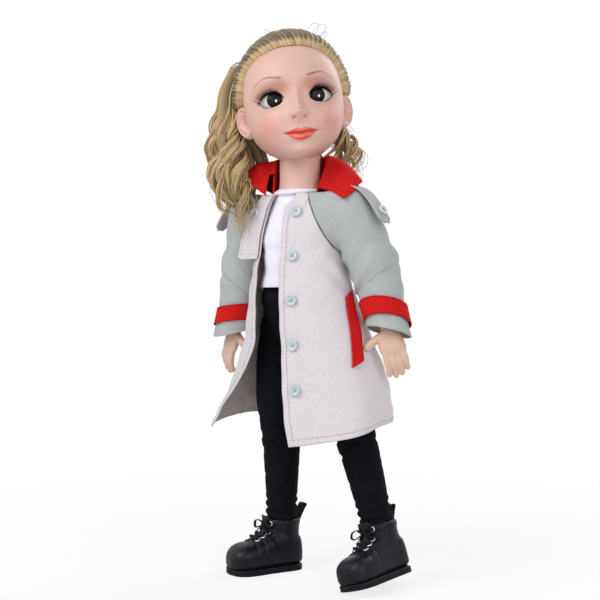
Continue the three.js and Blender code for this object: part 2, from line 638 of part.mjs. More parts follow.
function buildTrim(root) {
  for (let n = 1; n <= BUTTON_COUNT; n += 1) {
    const rise = THREE.MathUtils.lerp(76, -39, (n - 1) / (BUTTON_COUNT - 1));
    const degrees = leftEdge(rise) + THREE.MathUtils.radToDeg(BUTTON_INSET / coatSize(rise)[0]);
    const place = coatPoint(degrees, rise, SEAM_GAP + 0.1);
    const solid = turned(buttonSolid(), coatFacing(degrees, rise), place);
    piece(root, `coat_button_${n}`, solid, BUTTON);
  }
  piece(root, "storm_flap", stormFlap(), COAT);
  for (const [name, side] of Object.entries(SIDES)) {
    const middleRise = 0;
    const slant = (rise) => side * (WELT_ANGLE + WELT_SLANT * (rise - middleRise));
    const half = (rise) => THREE.MathUtils.radToDeg(WELT_HALF_WIDTH / coatSize(rise)[1]);
    const welt = coatPanel((rise) => slant(rise) - half(rise), (rise) => slant(rise) + half(rise),
      middleRise - WELT_HEIGHT / 2, middleRise + WELT_HEIGHT / 2, 3, 2 * SEAM_GAP + CLOTH, CLOTH);
    piece(root, `pocket_welt_${name}`, welt, RED);
  }
}

// Strap over the top of one shoulder, with its button
function buildEpaulette(root, name, side) {
  const lower = SLEEVE_DOME_RADIUS + RUN_GAP;
  const grid = (radius) => Array.from({ length: 9 }, (_, i) => {
    const degrees = THREE.MathUtils.lerp(112, 22, i / 8);
    const taper = EPAULETTE_HALF_WIDTH * (i === 8 ? 0.6 : 1);
    return [-1, 0, 1].map((edge) => {
      const sag = radius - 0.4 * Math.abs(edge) * (i / 8);
      const x = SHOULDER_HALF_SPACING + sag * Math.cos(rad(degrees)) + (i > 5 ? (i - 5) * 1.2 : 0);
      return vec(side * x, edge * taper, SHOULDER_HEIGHT + sag * Math.sin(rad(degrees)));
    });
  });
  const strap = slab(grid(lower + CLOTH), grid(lower));
  const at = rad(52);
  const out = vec(side * Math.cos(at), 0, Math.sin(at));
  const place = shoulderPlace(name).addScaledVector(out, lower + CLOTH + 0.1);
  const facing = new THREE.Quaternion().setFromUnitVectors(vec(0, 1, 0), out);
  piece(root, `epaulette_${name}`, join(strap, turned(buttonSolid(), facing, place)), SLEEVE);
}

// Head

// Rows of the head: height, half-width, depth to the front, depth to the back and squareness
function headRows() {
  const w = HEAD_HALF_WIDTH;
  const f = FACE_DEPTH;
  const s = SKULL_DEPTH;
  return [
    [-CHIN_DROP, 7, f - 10, -12, 2],
    [-CHIN_DROP + 1.5, 12, f - 6, 2, 2.2],
    [-CHIN_DROP + 5, w - 14.5, f - 3.5, 12, 2.2],
    [-28, w - 8, f - 1.5, s - 13, 2.2],
    [-22, w - 4, f - 0.5, s - 7, 2.2],
    [-15, w - 1.6, f, s - 2, 2.1],
    [-8, w - 0.4, f, s, 2],
    [0, w, f, s, 2],
    [9, w - 0.4, f - 0.4, s, 2],
    [18, w - 2.2, f - 2.4, s - 2, 2],
    [27, w - 6.5, f - 8, s - 7, 2],
    [35, w - 14, f - 16, s - 16, 2],
    [SKULL_RISE - 2, w - 23, f - 26, s - 27, 2],
    [SKULL_RISE, 3, 3, 4, 2],
  ];
}

const bump = (x, z, width, height) => Math.exp(-((x / width) ** 2) - (z / height) ** 2);

// How far the face stands out at a place seen from the front
function relief(x, z) {
  const nose = 5 * bump(x, z + 12.5, 4.2, 3.8) + 2.4 * bump(x, z + 4, 3.4, 8);
  const lips = 2.6 * bump(x, z + 23, 7, 2) + 2.4 * bump(x, z + 26.6, 6, 2);
  const chin = 2 * bump(x, z + 36, 7, 5);
  const cheeks = 1.2 * bump(Math.abs(x) - 18, z + 16, 9, 8);
  const sockets = -2.2 * bump(Math.abs(x) - EYE_HALF_SPACING, z + 1, 10, 7);
  return nose + lips + chin + cheeks + sockets;
}

function headSolid(grow, levels, count, withFace) {
  const rows = headRows();
  const heights = rows.map((row) => row[0]);
  const sizes = new THREE.CubicInterpolant(heights, rows.flatMap((row) => row.slice(1)), 4);
  const rings = levels.map((level) => {
    const z = THREE.MathUtils.lerp(-CHIN_DROP, SKULL_RISE, level);
    const [a, front, back, power] = sizes.evaluate(z);
    const height = z + grow * THREE.MathUtils.clamp(z / (z > 0 ? SKULL_RISE : CHIN_DROP), -1, 1);
    const points = ring({ z: height, a: a + grow, front: front + grow, back: back + grow, power }, count);
    if (withFace) {
      points.forEach((p) => {
        if (p.y < 0) p.y -= relief(p.x, z) * THREE.MathUtils.smoothstep(-p.y, 8, 22);
      });
    }
    return points;
  });
  return loft(rings);
}

function evenLevels(count) {
  return Array.from({ length: count + 1 }, (_, i) => 0.5 - 0.5 * Math.cos((Math.PI * i) / count));
}

function ears(grow) {
  return Object.values(SIDES).map((side) => {
    const ear = egg(4 + grow, 6 + grow, 10.5 + grow, 0, 0, 0);
    const lean = turnZ(side * -28).multiply(turnX(-12));
    return turned(ear, lean, vec(side * (HEAD_HALF_WIDTH - 0.5), 3, -15));
  });
}

function earHollows() {
  return Object.values(SIDES).map((side) => egg(2.2, 3, 6, side * (HEAD_HALF_WIDTH + 3.4), -1.5, -14));
}

function eyeSolid(side, grow) {
  const eye = egg(EYE_HALF_WIDTH + grow, EYE_HALF_DEPTH + grow, EYE_HALF_HEIGHT + grow, 0, 0, 0);
  return turned(eye, turnZ(side * EYE_SLANT), vec(side * EYE_HALF_SPACING, -EYE_FORWARD, -1));
}

// Part of the head that the hair leaves bare
function faceBlock() {
  const outline = [[-27, 36], [-3, -12], [10, -28], [24, -40], [90, -41], [90, -90],
    [-90, -90], [-90, 36]];
  const shape = new THREE.Shape(outline.map(([y, z]) => new THREE.Vector2(y, z)));
  const geometry = new THREE.ExtrudeGeometry(shape, { depth: 160, bevelEnabled: false });
  const basis = new THREE.Matrix4().makeBasis(vec(0, 1, 0), vec(0, 0, 1), vec(1, 0, 0));
  return solidOf(geometry.translate(0, 0, -80).applyMatrix4(basis));
}

function buildHead(root) {
  const tiltAxis = vec(0, 1, 0).applyQuaternion(turnZ(HEAD_TURN));
  const tilt = new THREE.Quaternion().setFromAxisAngle(tiltAxis, rad(-HEAD_TILT));
  const neck = pivot(root, "neck_tilt", vec(0, 0, HIP_HEIGHT + NECK_BALL_RISE), tilt);
  const knob = cup(NECK_KNOB_RADIUS);
  const mouth = rodZ(NECK_POST_RADIUS + 4.4, NECK_POST_RADIUS - 1, -NECK_BALL_RADIUS - 2, 0);
  piece(neck, "neck_ball", cut(ball(NECK_BALL_RADIUS, 0, 0, 0, 12), knob, mouth), PEG);

  const head = pivot(neck, "neck_turn", vec(0, 0, 0), turnZ(HEAD_TURN));
  const centre = vec(0, -HEAD_CENTRE_FORWARD, HEAD_CENTRE_RISE);
  const still = new THREE.Quaternion();
  const carry = (solid) => turned(solid, still, centre);
  const lip = -NECK_TOP_DROP + 2.5;
  const throat = rodZ(NECK_RADIUS + 1.9, NECK_RADIUS + 1.6, -30, lip, 16);
  const neckHole = [cup(NECK_BALL_RADIUS), throat];
  const faceLevels = [...evenLevels(9).slice(0, 2), ...Array.from({ length: 11 }, (_, i) => 0.07 + 0.059 * i),
    ...evenLevels(9).slice(-4)];
  const sockets = Object.values(SIDES).map((side) => eyeSolid(side, SEAM_GAP));
  const skull = cut(join(headSolid(0, faceLevels, 24, true), ...ears(0)), ...sockets, ...earHollows());
  piece(head, "head", cut(carry(skull), ...neckHole), SKIN);
  for (const [name, side] of Object.entries(SIDES)) {
    piece(head, `eye_${name}`, carry(eyeSolid(side, 0)), EYE);
  }

  const mass = headSolid(HAIR_THICKNESS, evenLevels(9), 20, false);
  const hollow = headSolid(SEAM_GAP + 1, evenLevels(10), 22, false);
  const cap = cut(mass, hollow, faceBlock(), ...ears(SEAM_GAP + 0.8));
  piece(head, "hair_cap", carry(cap), HAIR);
  const tail = cut(ponytail(), headSolid(HAIR_THICKNESS + SEAM_GAP, evenLevels(9), 20, false));
  piece(head, "ponytail", carry(tail), HAIR);
  return head;
}

// Gathered tail of ringlets: a tie at the back, a fall over the right shoulder and one behind the neck
function ponytail() {
  const root = vec(-16, 43, 4);
  const fall = [vec(-34, 36, -2), vec(-48, 23, -18), vec(-53, 10, -40), vec(-50, 3, -62), vec(-44, 2, -82)];
  const core = tube([root, ...fall], (t) => 7 + 6.5 * Math.sin(Math.PI * t) - 3 * t, 8, 8);
  const parts = [core, egg(9, 5.5, 8, root.x, root.y, root.z)];
  const locks = 2;
  for (let n = 0; n < locks; n += 1) {
    const start = (2 * Math.PI * n) / locks;
    const points = Array.from({ length: 13 }, (_, i) => {
      const t = i / 12;
      const swirl = start + 2 * Math.PI * 1.6 * t;
      const wide = 5 + 6 * Math.sin(Math.PI * t);
      const down = vec(-44 - 4 * t, 32 - 32 * Math.sqrt(t), -2 - 82 * t);
      const bulge = 6 * Math.sin(Math.PI * t);
      return down.add(vec(wide * Math.cos(swirl) - bulge, 0.7 * wide * Math.sin(swirl), 0));
    });
    parts.push(tube(points, (t) => 1.6 + 3.2 * Math.sin(Math.PI * (0.1 + 0.85 * t)), 5, 10));
  }
  parts.push(tube([root, vec(-4, 47, -12), vec(12, 44, -34), vec(20, 40, -52), vec(14, 40, -62)],
    (t) => 1.5 + 5 * Math.sin(Math.PI * (0.2 + 0.75 * t)), 6, 6));
  return join(...parts);
}

// Limbs

// Cuts the lower end of an upper limb so that the ball of the next one bends in it
function hingeSeat(solid, depth, ballRadius, shaftRadius, bendsTo) {
  const slotHalf = shaftRadius + RUN_GAP;
  const far = 60;
  const slot = bendsTo > 0 ? block(-slotHalf, slotHalf, 0, far, -depth - far, -depth + slotHalf)
    : block(-slotHalf, slotHalf, -far, 0, -depth - far, -depth + slotHalf);
  return cut(solid, cup(ballRadius, 0, 0, -depth), slot);
}

function buildHand(wrist, name, side) {
  const w = PALM_HALF_WIDTH;
  const palmRows = [[0, 4.6, 4.8, 0], [-4, 4.4, 6.4, 0], [-10, 4, w, -0.4], [-PALM_LENGTH, 3.4, w - 0.4, 0]];
  const palm = loft(palmRows.map(([z, a, b, y]) => ring({ z, y, a, front: b, power: 2.4 }, 12)));
  const parts = [palm, rodZ(WRIST_PEG_RADIUS, WRIST_PEG_RADIUS, -2, WRIST_PEG_LENGTH, 12)];
  const lengths = [0.9, 1, 0.95, 0.78];
  lengths.forEach((share, n) => {
    const y = (n - 1.5) * (2 * w - 1) / lengths.length;
    const reach = FINGER_LENGTH * share;
    const fan = (n - 1.4) * 0.09;
    const points = [[0, 3], [0.1, -0.35 * reach], [-0.9, -0.7 * reach], [-2.6, -reach]].map(
      ([curl, z]) => vec(side * curl, y - fan * z, z - PALM_LENGTH));
    parts.push(tube(points, (t) => FINGER_RADIUS * (1 - 0.25 * t) * (t === 1 ? 0.6 : 1), 5, 4));
  });
  const thumb = [[0, -4, -4], [1.5, -8.6, -9], [3, -11, -14], [3.6, -11.6, -18]].map(
    ([curl, y, z]) => vec(-side * curl, y, z));
  parts.push(tube(thumb, (t) => 2.6 * (1 - 0.22 * t) * (t === 1 ? 0.6 : 1), 6, 4));
  piece(wrist, `hand_${name}`, join(...parts), SKIN);
}

function buildArm(root, name, side) {
  const swing = armTurn(name);
  const shoulder = pivot(root, `shoulder_${name}`, shoulderPlace(name), swing);
  const level = swing.clone().invert();
  const pegEnd = -side * SHOULDER_PEG_LENGTH;
  const flange = rodX(SHOULDER_FLANGE_RADIUS, pegEnd + side * SHOULDER_FLANGE_LENGTH, pegEnd, 0, 0);
  const peg = join(rodX(SHOULDER_PEG_RADIUS, 0, pegEnd, 0, 0), flange);
  const end = -UPPER_ARM_LENGTH;
  const upperRows = [[0, 7.4, 7.6], [-12, 8.6, 8.8], [-26, 8, 8.2], [end + 6, 8, 8], [end, 8.2, 8]];
  const earBlock = block(-ELBOW_EAR_REACH, ELBOW_EAR_REACH, -3.6, 3.6, end - 4, end + 7);
  const forearmTop = ELBOW_BALL_RADIUS - 0.8;
  const armShape = join(loft(ringsOf(upperRows, 0, 10)), ball(SHOULDER_BALL_RADIUS), earBlock);
  const pinBore = rodX(ARM_PIN_RADIUS + SEAM_GAP, -20, 20, 0, -UPPER_ARM_LENGTH);
  const seated = cut(hingeSeat(armShape, UPPER_ARM_LENGTH, ELBOW_BALL_RADIUS, forearmTop, -1), pinBore);
  piece(shoulder, `upper_arm_${name}`, join(seated, turned(peg, level, vec(0, 0, 0))), SKIN);
  const pinReach = ELBOW_EAR_REACH - 0.4;
  piece(shoulder, `elbow_pin_${name}`, rodX(ARM_PIN_RADIUS, -pinReach, pinReach, 0, end), STEEL);

  const outer = sleeveRows().map(([z, r]) => ring({ z, a: r, front: r }, 12));
  const inner = sleeveRows().map(([z, r]) => {
    const wall = z > 0 ? CLOTH * Math.sin(z / SLEEVE_DOME_RADIUS) : 0;
    return ring({ z: z - wall, a: Math.max(r - CLOTH, 1), front: Math.max(r - CLOTH, 1) }, 12);
  });
  const inward = side > 0 ? block(-60, -9, -40, 40, -40, 40) : block(9, 60, -40, 40, -40, 40);
  const armhole = turned(inward, level, vec(0, 0, 0));
  piece(shoulder, `sleeve_upper_${name}`, cut(hose(outer, inner), armhole), SLEEVE);

  const elbow = pivot(shoulder, `elbow_${name}`, vec(0, 0, -UPPER_ARM_LENGTH), turnX(-ELBOW_BEND[name]));
  const lowerRows = [[-2, forearmTop - 0.4, forearmTop], [-10, forearmTop, 6.6], [-20, 6.2, 6.4],
    [-FOREARM_LENGTH, WRIST_RADIUS - 0.4, WRIST_RADIUS]];
  const boreRadius = WRIST_PEG_RADIUS + WRIST_GAP;
  const boreTop = -FOREARM_LENGTH + WRIST_PEG_LENGTH + WRIST_GAP;
  const wristBore = rodZ(boreRadius, boreRadius, -FOREARM_LENGTH - 5, boreTop, 12);
  const lower = join(loft(ringsOf(lowerRows, 0, 10)), ball(ELBOW_BALL_RADIUS, 0, 0, 0, 12));
  const elbowBore = rodX(ARM_PIN_RADIUS + SEAM_GAP, -20, 20, 0, 0);
  piece(elbow, `forearm_${name}`, cut(lower, wristBore, elbowBore), SKIN);

  const cuffEnd = -FOREARM_LENGTH + 1;
  const tucked = SLEEVE_RADIUS - CLOTH - 1.4;
  const lowerSleeve = [[2.4, tucked], [-5, CUFF_RADIUS - 0.2], [-12, CUFF_RADIUS + 0.4], [-22, CUFF_RADIUS],
    [cuffEnd, CUFF_RADIUS]];
  const sleeveRings = (inset) => lowerSleeve.map(([z, r]) => ring({ z, a: r - inset, front: r - inset }, 12));
  piece(elbow, `sleeve_lower_${name}`, hose(sleeveRings(0), sleeveRings(CLOTH)), SLEEVE);
  const strapRings = (grow) => [cuffEnd + CUFF_STRAP_RISE, cuffEnd + CUFF_STRAP_RISE + CUFF_STRAP_WIDTH]
    .map((z) => ring({ z, a: SLEEVE_RADIUS - 0.6 + grow, front: SLEEVE_RADIUS - 0.6 + grow }, 12));
  piece(elbow, `cuff_strap_${name}`, hose(strapRings(SEAM_GAP + CLOTH), strapRings(SEAM_GAP)), RED);

  const wrist = pivot(elbow, `wrist_${name}`, vec(0, 0, -FOREARM_LENGTH - WRIST_GAP));
  buildHand(wrist, name, side);
}

// Rows of the thigh below the hip centre
function thighRows() {
  const end = -THIGH_LENGTH;
  return [[-4, HIP_BALL_RADIUS - 0.8, HIP_BALL_RADIUS - 0.6, 0], [-16, THIGH_RADIUS, THIGH_RADIUS + 0.4, 0],
    [-36, THIGH_RADIUS - 0.6, THIGH_RADIUS - 0.2, 0], [end + 12, 11, 11, 0], [end, 11.2, 10.8, 0]];
}

const hipPlace = (side) => vec(side * HIP_HALF_SPACING, HIP_BACK, HIP_HEIGHT);
const legName = (side) => (side > 0 ? "left" : "right");

function legTurn(side) {
  const name = legName(side);
  return turnY(-side * LEG_SPLAY[name]).multiply(turnZ(LEG_TWIST[name]));
}

// Rings of the foot from heel to toe, smaller all round by an inset; heights are above the sole
function footRings(inset, floor) {
  const wide = BOOT_HALF_WIDTH;
  const heel = BOOT_HEEL_REACH;
  const toe = -BOOT_TOE_REACH;
  const rows = [[heel, 7, 14], [heel - 3, 10.6, 22], [4, wide - 1, 27], [-6, wide - 1, 25], [-15, wide - 0.6, 20],
    [-24, wide, 16], [toe + 7, wide - 0.6, 14.5], [toe + 2, wide - 4.5, 11.5], [toe, wide - 9, 7]];
  return rows.map(([y, w, h], n) => {
    const shift = n < 2 ? -inset : 0;
    const reach = n > 6 ? inset : 0;
    const half = w - inset;
    const tall = h - inset - floor;
    return Array.from({ length: 10 }, (_, j) => {
      const turn = (2 * Math.PI * j) / 10;
      const shape = (value) => Math.sign(value) * Math.abs(value) ** 0.72;
      const up = 0.5 + 0.5 * shape(Math.sin(turn));
      return vec(half * shape(Math.cos(turn)), y + shift + reach, floor + tall * up);
    });
  });
}

function bootShaft(inset, low, high) {
  return loft(ringsOf([[low, 11 - inset, 11 - inset, 1], [high, 11.6 - inset, 12 - inset, 1]], 0, 12));
}

function buildBoot(knee, name) {
  const soleTop = -SHIN_LENGTH + SOLE_THICKNESS;
  const lift = (solid) => turned(solid, new THREE.Quaternion(), vec(0, 0, soleTop + SEAM_GAP));
  const outline = footRings(-SOLE_OVERHANG, 0).map((points) => Math.max(...points.map((p) => p.x)));
  const ys = footRings(-SOLE_OVERHANG, 0).map((points) => points[0].y);
  const right = ys.map((y, n) => new THREE.Vector2(outline[n], y));
  const left = right.map((p) => new THREE.Vector2(-p.x, p.y)).reverse();
  const shape = new THREE.Shape([...right, ...left]);
  const sole = new THREE.ExtrudeGeometry(shape, { depth: SOLE_THICKNESS, bevelEnabled: false });
  piece(knee, `boot_sole_${name}`, solidOf(sole.translate(0, 0, -SHIN_LENGTH)), SOLE);

  const outside = join(loft(footRings(0, 0)), bootShaft(0, 14, BOOT_HEIGHT));
  const throat = bootShaft(BOOT_LEATHER, 14, BOOT_HEIGHT + 5);
  const inside = join(loft(footRings(BOOT_LEATHER, BOOT_LEATHER)), throat);
  const under = join(loft(footRings(0.7, 0)), bootShaft(0.7, 13, BOOT_HEIGHT + 1));
  const slot = cut(block(-3.4, 3.4, -24, -4, 15, BOOT_HEIGHT + 2), under);
  const top = BOOT_HEIGHT;
  const loopLine = [[11.6, top - 6], [14.4, top - 1], [14.2, top + 5], [12.2, top - 3]];
  const loop = loopLine.map(([y, z]) => vec(0, y, z));
  const upper = cut(join(outside, tube(loop, () => 1.1, 5, 6)), inside, slot);
  piece(knee, `boot_upper_${name}`, lift(upper), BOOT);

  const cord = (points, steps) => tube(points.map(([x, y, z]) => vec(x, y, z)), () => LACE_RADIUS, 4, steps);
  const knot = [0, -13.8, 25.9];
  const zig = [[-4.4, -21.9, 17.9], [4.4, -18.9, 19.3], [-4.4, -16.1, 21.1], [4.2, -14.1, 23.3], knot];
  const bows = [-1, 1].map((side) => cord(
    [knot, [side * 6, -14.7, 27.7], [side * 11, -15.9, 24.9], [side * 6, -16.7, 23.5], knot], 6));
  piece(knee, `boot_lace_${name}`, lift(join(cord(zig, 7), ball(1.9, ...knot, 6), ...bows)), BOOT);
}

function buildLeg(root, name, side) {
  const swing = pivot(root, `hip_swing_${name}`, hipPlace(side));
  const knuckleBore = rodX(HIP_PIN_RADIUS + RUN_GAP, -20, 20, 0, 0);
  piece(swing, `hip_knuckle_${name}`, cut(ball(HIP_KNUCKLE_RADIUS), knuckleBore), PEG);

  const hip = pivot(swing, `hip_spread_${name}`, vec(0, 0, 0), legTurn(side));
  const earBlock = rodZ(KNEE_EAR_REACH, KNEE_EAR_REACH, -THIGH_LENGTH - 5, -THIGH_LENGTH + 9, 8).intersect(
    block(-20, 20, -4.6, 4.6, -THIGH_LENGTH - 9, 0));
  const whole = join(loft(ringsOf(thighRows(), 0, 10)), ball(HIP_BALL_RADIUS, 0, 0, 0), earBlock);
  const kneeBore = rodX(LEG_PIN_RADIUS + SEAM_GAP, -20, 20, 0, -THIGH_LENGTH);
  const cone = new THREE.CylinderGeometry(PIN_ROOM_RADIUS, HIP_PIN_RADIUS + EASE, PIN_ROOM_LENGTH, 10);
  const pinRoom = cone.rotateZ(side * Math.PI / 2).translate(-side * PIN_ROOM_LENGTH / 2, 0, 0);
  const level = legTurn(side).invert();
  const room = turned(solidOf(pinRoom), level, vec(0, 0, 0));
  const thigh = cut(whole, ball(HIP_KNUCKLE_RADIUS + 2 * RUN_GAP), room, kneeBore);
  const kneeShaft = KNEE_BALL_RADIUS - 0.7;
  piece(hip, `thigh_${name}`, hingeSeat(thigh, THIGH_LENGTH, KNEE_BALL_RADIUS, kneeShaft, 1), SKIN);
  const pinReach = KNEE_EAR_REACH - 0.4;
  piece(hip, `knee_pin_${name}`, rodX(LEG_PIN_RADIUS, -pinReach, pinReach, 0, -THIGH_LENGTH), STEEL);

  const dome = [72, 48, 22].map((up) => {
    const r = HIP_DOME_RADIUS * Math.cos(rad(up));
    return [HIP_DOME_RADIUS * Math.sin(rad(up)), r, r, 0];
  });
  const legRows = thighRows().map(([z, a, b, y]) => [z, a + EASE + CLOTH, b + EASE + CLOTH, y]);
  const clothRows = [...dome, ...legRows];
  const outer = ringsOf(clothRows, 0, 12);
  const inner = clothRows.map(([z, a, b, y]) => {
    const wall = z > 0 ? CLOTH * (z / HIP_DOME_RADIUS) : 0;
    return ring({ z: z - wall, y, a: a - CLOTH, front: b - CLOTH }, 12);
  });
  const gusset = crotch(EASE + CLOTH + RUN_GAP).translate(hipPlace(side).negate().toArray());
  const thighHose = cut(hose(outer, inner), turned(gusset, level, vec(0, 0, 0)), room);
  piece(hip, `trouser_thigh_${name}`, thighHose, TROUSERS);

  const knee = pivot(hip, `knee_${name}`, vec(0, 0, -THIGH_LENGTH), turnX(KNEE_BEND[name]));
  const shinShaft = KNEE_BALL_RADIUS - 0.9;
  const footTop = -SHIN_LENGTH + SOLE_THICKNESS + SEAM_GAP;
  const ankle = ANKLE_RADIUS;
  const shinRows = [[-2, shinShaft - 0.4, shinShaft - 0.2, 0], [-10, shinShaft, shinShaft, 0.4],
    [-26, CALF_RADIUS - 0.6, CALF_RADIUS, 1], [-44, 7.8, 8.2, 0.8], [footTop + 26, ankle, ankle + 0.4, 0.6],
    [footTop + 8, ankle, ankle + 0.6, 0.8]];
  const fit = BOOT_LEATHER + SEAM_GAP;
  const foot = turned(loft(footRings(fit, fit)), new THREE.Quaternion(), vec(0, 0, footTop));
  const shin = join(loft(ringsOf(shinRows, 0, 10)), ball(KNEE_BALL_RADIUS, 0, 0, 0, 12), foot);
  piece(knee, `shin_${name}`, cut(shin, rodX(LEG_PIN_RADIUS + SEAM_GAP, -20, 20, 0, 0)), SKIN);

  const hem = -SHIN_LENGTH + TROUSER_HEM_RISE;
  const r = KNEE_CLOTH_RADIUS;
  const kneeTop = -SEAM_GAP - r * Math.sin(rad(KNEE_BEND[name]));
  const hoseRows = [[kneeTop, r, r, 0], [-12, r - 1.4, r - 1.2, 0.6],
    [-26, CALF_RADIUS + 2, CALF_RADIUS + 2.2, 1], [-40, 10.6, 10.8, 0.8], [hem, 10.2, 10.4, 0.8]];
  const legCloth = hose(ringsOf(hoseRows, 0, 12), ringsOf(hoseRows, -CLOTH, 12));
  piece(knee, `trouser_shin_${name}`, legCloth, TROUSERS);
  buildBoot(knee, name);
}

const doll = new THREE.Group();
doll.name = "play_doll";
buildTorso(doll);
buildShirt(doll);
buildSeat(doll);
buildCoat(doll);
buildCollar(doll);
buildTrim(doll);
buildHead(doll);
for (const [name, side] of Object.entries(SIDES)) {
  buildEpaulette(doll, name, side);
  buildArm(doll, name, side);
  buildLeg(doll, name, side);
}

// The origin goes to the middle of the doll's box, on the floor
doll.updateMatrixWorld(true);
const box = new THREE.Box3().setFromObject(doll, true);
doll.position.set(-(box.min.x + box.max.x) / 2, -(box.min.y + box.max.y) / 2, -box.min.z);
doll.updateMatrixWorld(true);

export default doll;
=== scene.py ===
import json
import math

import bpy
import bmesh
import numpy as np
from mathutils import Matrix, Vector
from mathutils.bvhtree import BVHTree


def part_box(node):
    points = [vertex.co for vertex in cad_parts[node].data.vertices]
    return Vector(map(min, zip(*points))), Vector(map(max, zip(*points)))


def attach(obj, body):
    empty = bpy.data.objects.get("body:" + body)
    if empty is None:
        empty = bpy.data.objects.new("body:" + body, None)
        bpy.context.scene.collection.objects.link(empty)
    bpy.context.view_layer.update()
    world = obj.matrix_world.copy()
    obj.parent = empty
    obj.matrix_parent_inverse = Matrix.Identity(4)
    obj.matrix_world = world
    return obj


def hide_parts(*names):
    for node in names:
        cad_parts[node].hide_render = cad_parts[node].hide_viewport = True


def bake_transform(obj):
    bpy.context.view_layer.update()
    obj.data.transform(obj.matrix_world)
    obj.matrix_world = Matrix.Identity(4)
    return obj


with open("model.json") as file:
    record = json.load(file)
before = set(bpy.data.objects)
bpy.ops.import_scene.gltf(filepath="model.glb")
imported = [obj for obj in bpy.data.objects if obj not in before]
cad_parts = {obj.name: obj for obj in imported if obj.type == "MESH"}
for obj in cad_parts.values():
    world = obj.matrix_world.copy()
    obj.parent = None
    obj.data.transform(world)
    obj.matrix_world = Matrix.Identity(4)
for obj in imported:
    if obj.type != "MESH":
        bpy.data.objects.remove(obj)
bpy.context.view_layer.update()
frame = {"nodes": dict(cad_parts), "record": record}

# Pieces are laid out in millimetres in the doll's own frame: it faces -Y and its left side is +X.
MM = 0.001
HIP_HEIGHT = 164.0
HIP_BACK = 6.5
SIDES = {"left": 1, "right": -1}
_low, _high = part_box("hip_pin")
SHIFT = np.array((_low + _high) / 2) / MM - np.array((0, HIP_BACK, HIP_HEIGHT))

# Stance in degrees, as the solids have it; the face leans 2 more, as it is seen to
HEAD_TURN = 39
HEAD_TILT = 7.5
ARM_SPLAY = {"left": 18, "right": 16}
ARM_SWING = {"left": 14, "right": 10}
ELBOW_BEND = {"left": 14, "right": 12}
LEG_SPLAY = {"left": 15, "right": 0}
LEG_TWIST = {"left": -10, "right": -25}
KNEE_BEND = {"left": 2, "right": 0}
# The hands are swivelled at the wrist, thumbs towards the body
HAND_SWIVEL = {"left": -50, "right": 62}

SHOULDER_HEIGHT = HIP_HEIGHT + 74
SHOULDER_HALF_SPACING = 39
HIP_HALF_SPACING = 21
NECK_BALL_HEIGHT = HIP_HEIGHT + 115
UPPER_ARM = 42
FOREARM = 36
WRIST_GAP = 0.6
THIGH = 78
SHIN = 86
# Middle of the head from the neck ball
HEAD_MIDDLE = (0, -4, 35)


def turn(axis, degrees):
    return Matrix.Rotation(math.radians(degrees), 4, axis)


def shift(x, y, z):
    return Matrix.Translation((x, y, z))


def stance():
    """Places of the doll's limbs and head, each a matrix from the piece's own millimetres to the doll's."""
    tilt_axis = turn("Z", HEAD_TURN) @ Vector((0, 1, 0))
    head = shift(0, 0, NECK_BALL_HEIGHT) @ turn(tilt_axis, -HEAD_TILT) @ turn("Z", HEAD_TURN)
    places = {"head": head @ shift(*HEAD_MIDDLE)}
    for name, side in SIDES.items():
        arm = shift(side * SHOULDER_HALF_SPACING, 0, SHOULDER_HEIGHT)
        arm = arm @ turn("X", ARM_SWING[name]) @ turn("Y", -side * ARM_SPLAY[name])
        fore = arm @ shift(0, 0, -UPPER_ARM) @ turn("X", -ELBOW_BEND[name])
        leg = shift(side * HIP_HALF_SPACING, HIP_BACK, HIP_HEIGHT)
        leg = leg @ turn("Y", -side * LEG_SPLAY[name]) @ turn("Z", LEG_TWIST[name])
        places["arm_" + name] = arm
        places["forearm_" + name] = fore
        places["hand_" + name] = fore @ shift(0, 0, -FOREARM - WRIST_GAP)
        places["thigh_" + name] = leg
        places["shin_" + name] = leg @ shift(0, 0, -THIGH) @ turn("X", KNEE_BEND[name])
    return places


PLACE = stance()


def carried(points, place):
    """Points in a piece's own millimetres, in the doll's."""
    points = np.asarray(points, float)
    if place is None:
        return points
    m = np.array(PLACE[place])
    return points @ m[:3, :3].T + m[:3, 3]


def spot(point, place=None):
    """One place in the row frame, in metres."""
    return tuple((carried([point], place)[0] + SHIFT) * MM)


# Shapes


def ease(x, low, high):
    t = np.clip((np.asarray(x, float) - low) / (high - low), 0, 1)
    return t * t * (3 - 2 * t)


def bump(x, z, width, height):
    return np.exp(-((x / width) ** 2) - (z / height) ** 2)


def ridge(x, width):
    return np.exp(-((x / width) ** 2))


def circle(count):
    """Angles of an even ring."""
    return np.linspace(0, 2 * np.pi, count, endpoint=False)


def unit(v):
    return v / np.linalg.norm(v, axis=-1, keepdims=True)


def grid(x, y, z):
    """Points of a grid, from coordinates that may each be a row or a column of it."""
    return np.stack(np.broadcast_arrays(x, y, z), -1)


def through(xs, rows, x):
    """Smooth curve through rows of numbers."""
    xs = np.asarray(xs, float)
    rows = np.asarray(rows, float).reshape(len(xs), -1)
    slope = np.gradient(rows, xs, axis=0)
    x = np.clip(np.asarray(x, float), xs[0], xs[-1])
    n = np.clip(np.searchsorted(xs, x, side="right") - 1, 0, len(xs) - 2)
    h = xs[n + 1] - xs[n]
    t = ((x - xs[n]) / h)[:, None]
    h = h[:, None]
    low = (1 + 2 * t) * (1 - t) ** 2 * rows[n] + t * (1 - t) ** 2 * h * slope[n]
    return low + t * t * (3 - 2 * t) * rows[n + 1] + t * t * (t - 1) * h * slope[n + 1]


def run_length(line):
    """Way from the start of a line to each of its points."""
    return np.concatenate(([0], np.cumsum(np.linalg.norm(np.diff(line, axis=0), axis=1))))


def places_on(line, run, at):
    """Places on a line at given ways from its start."""
    return np.stack([np.interp(at, run, line[:, k]) for k in range(3)], -1)


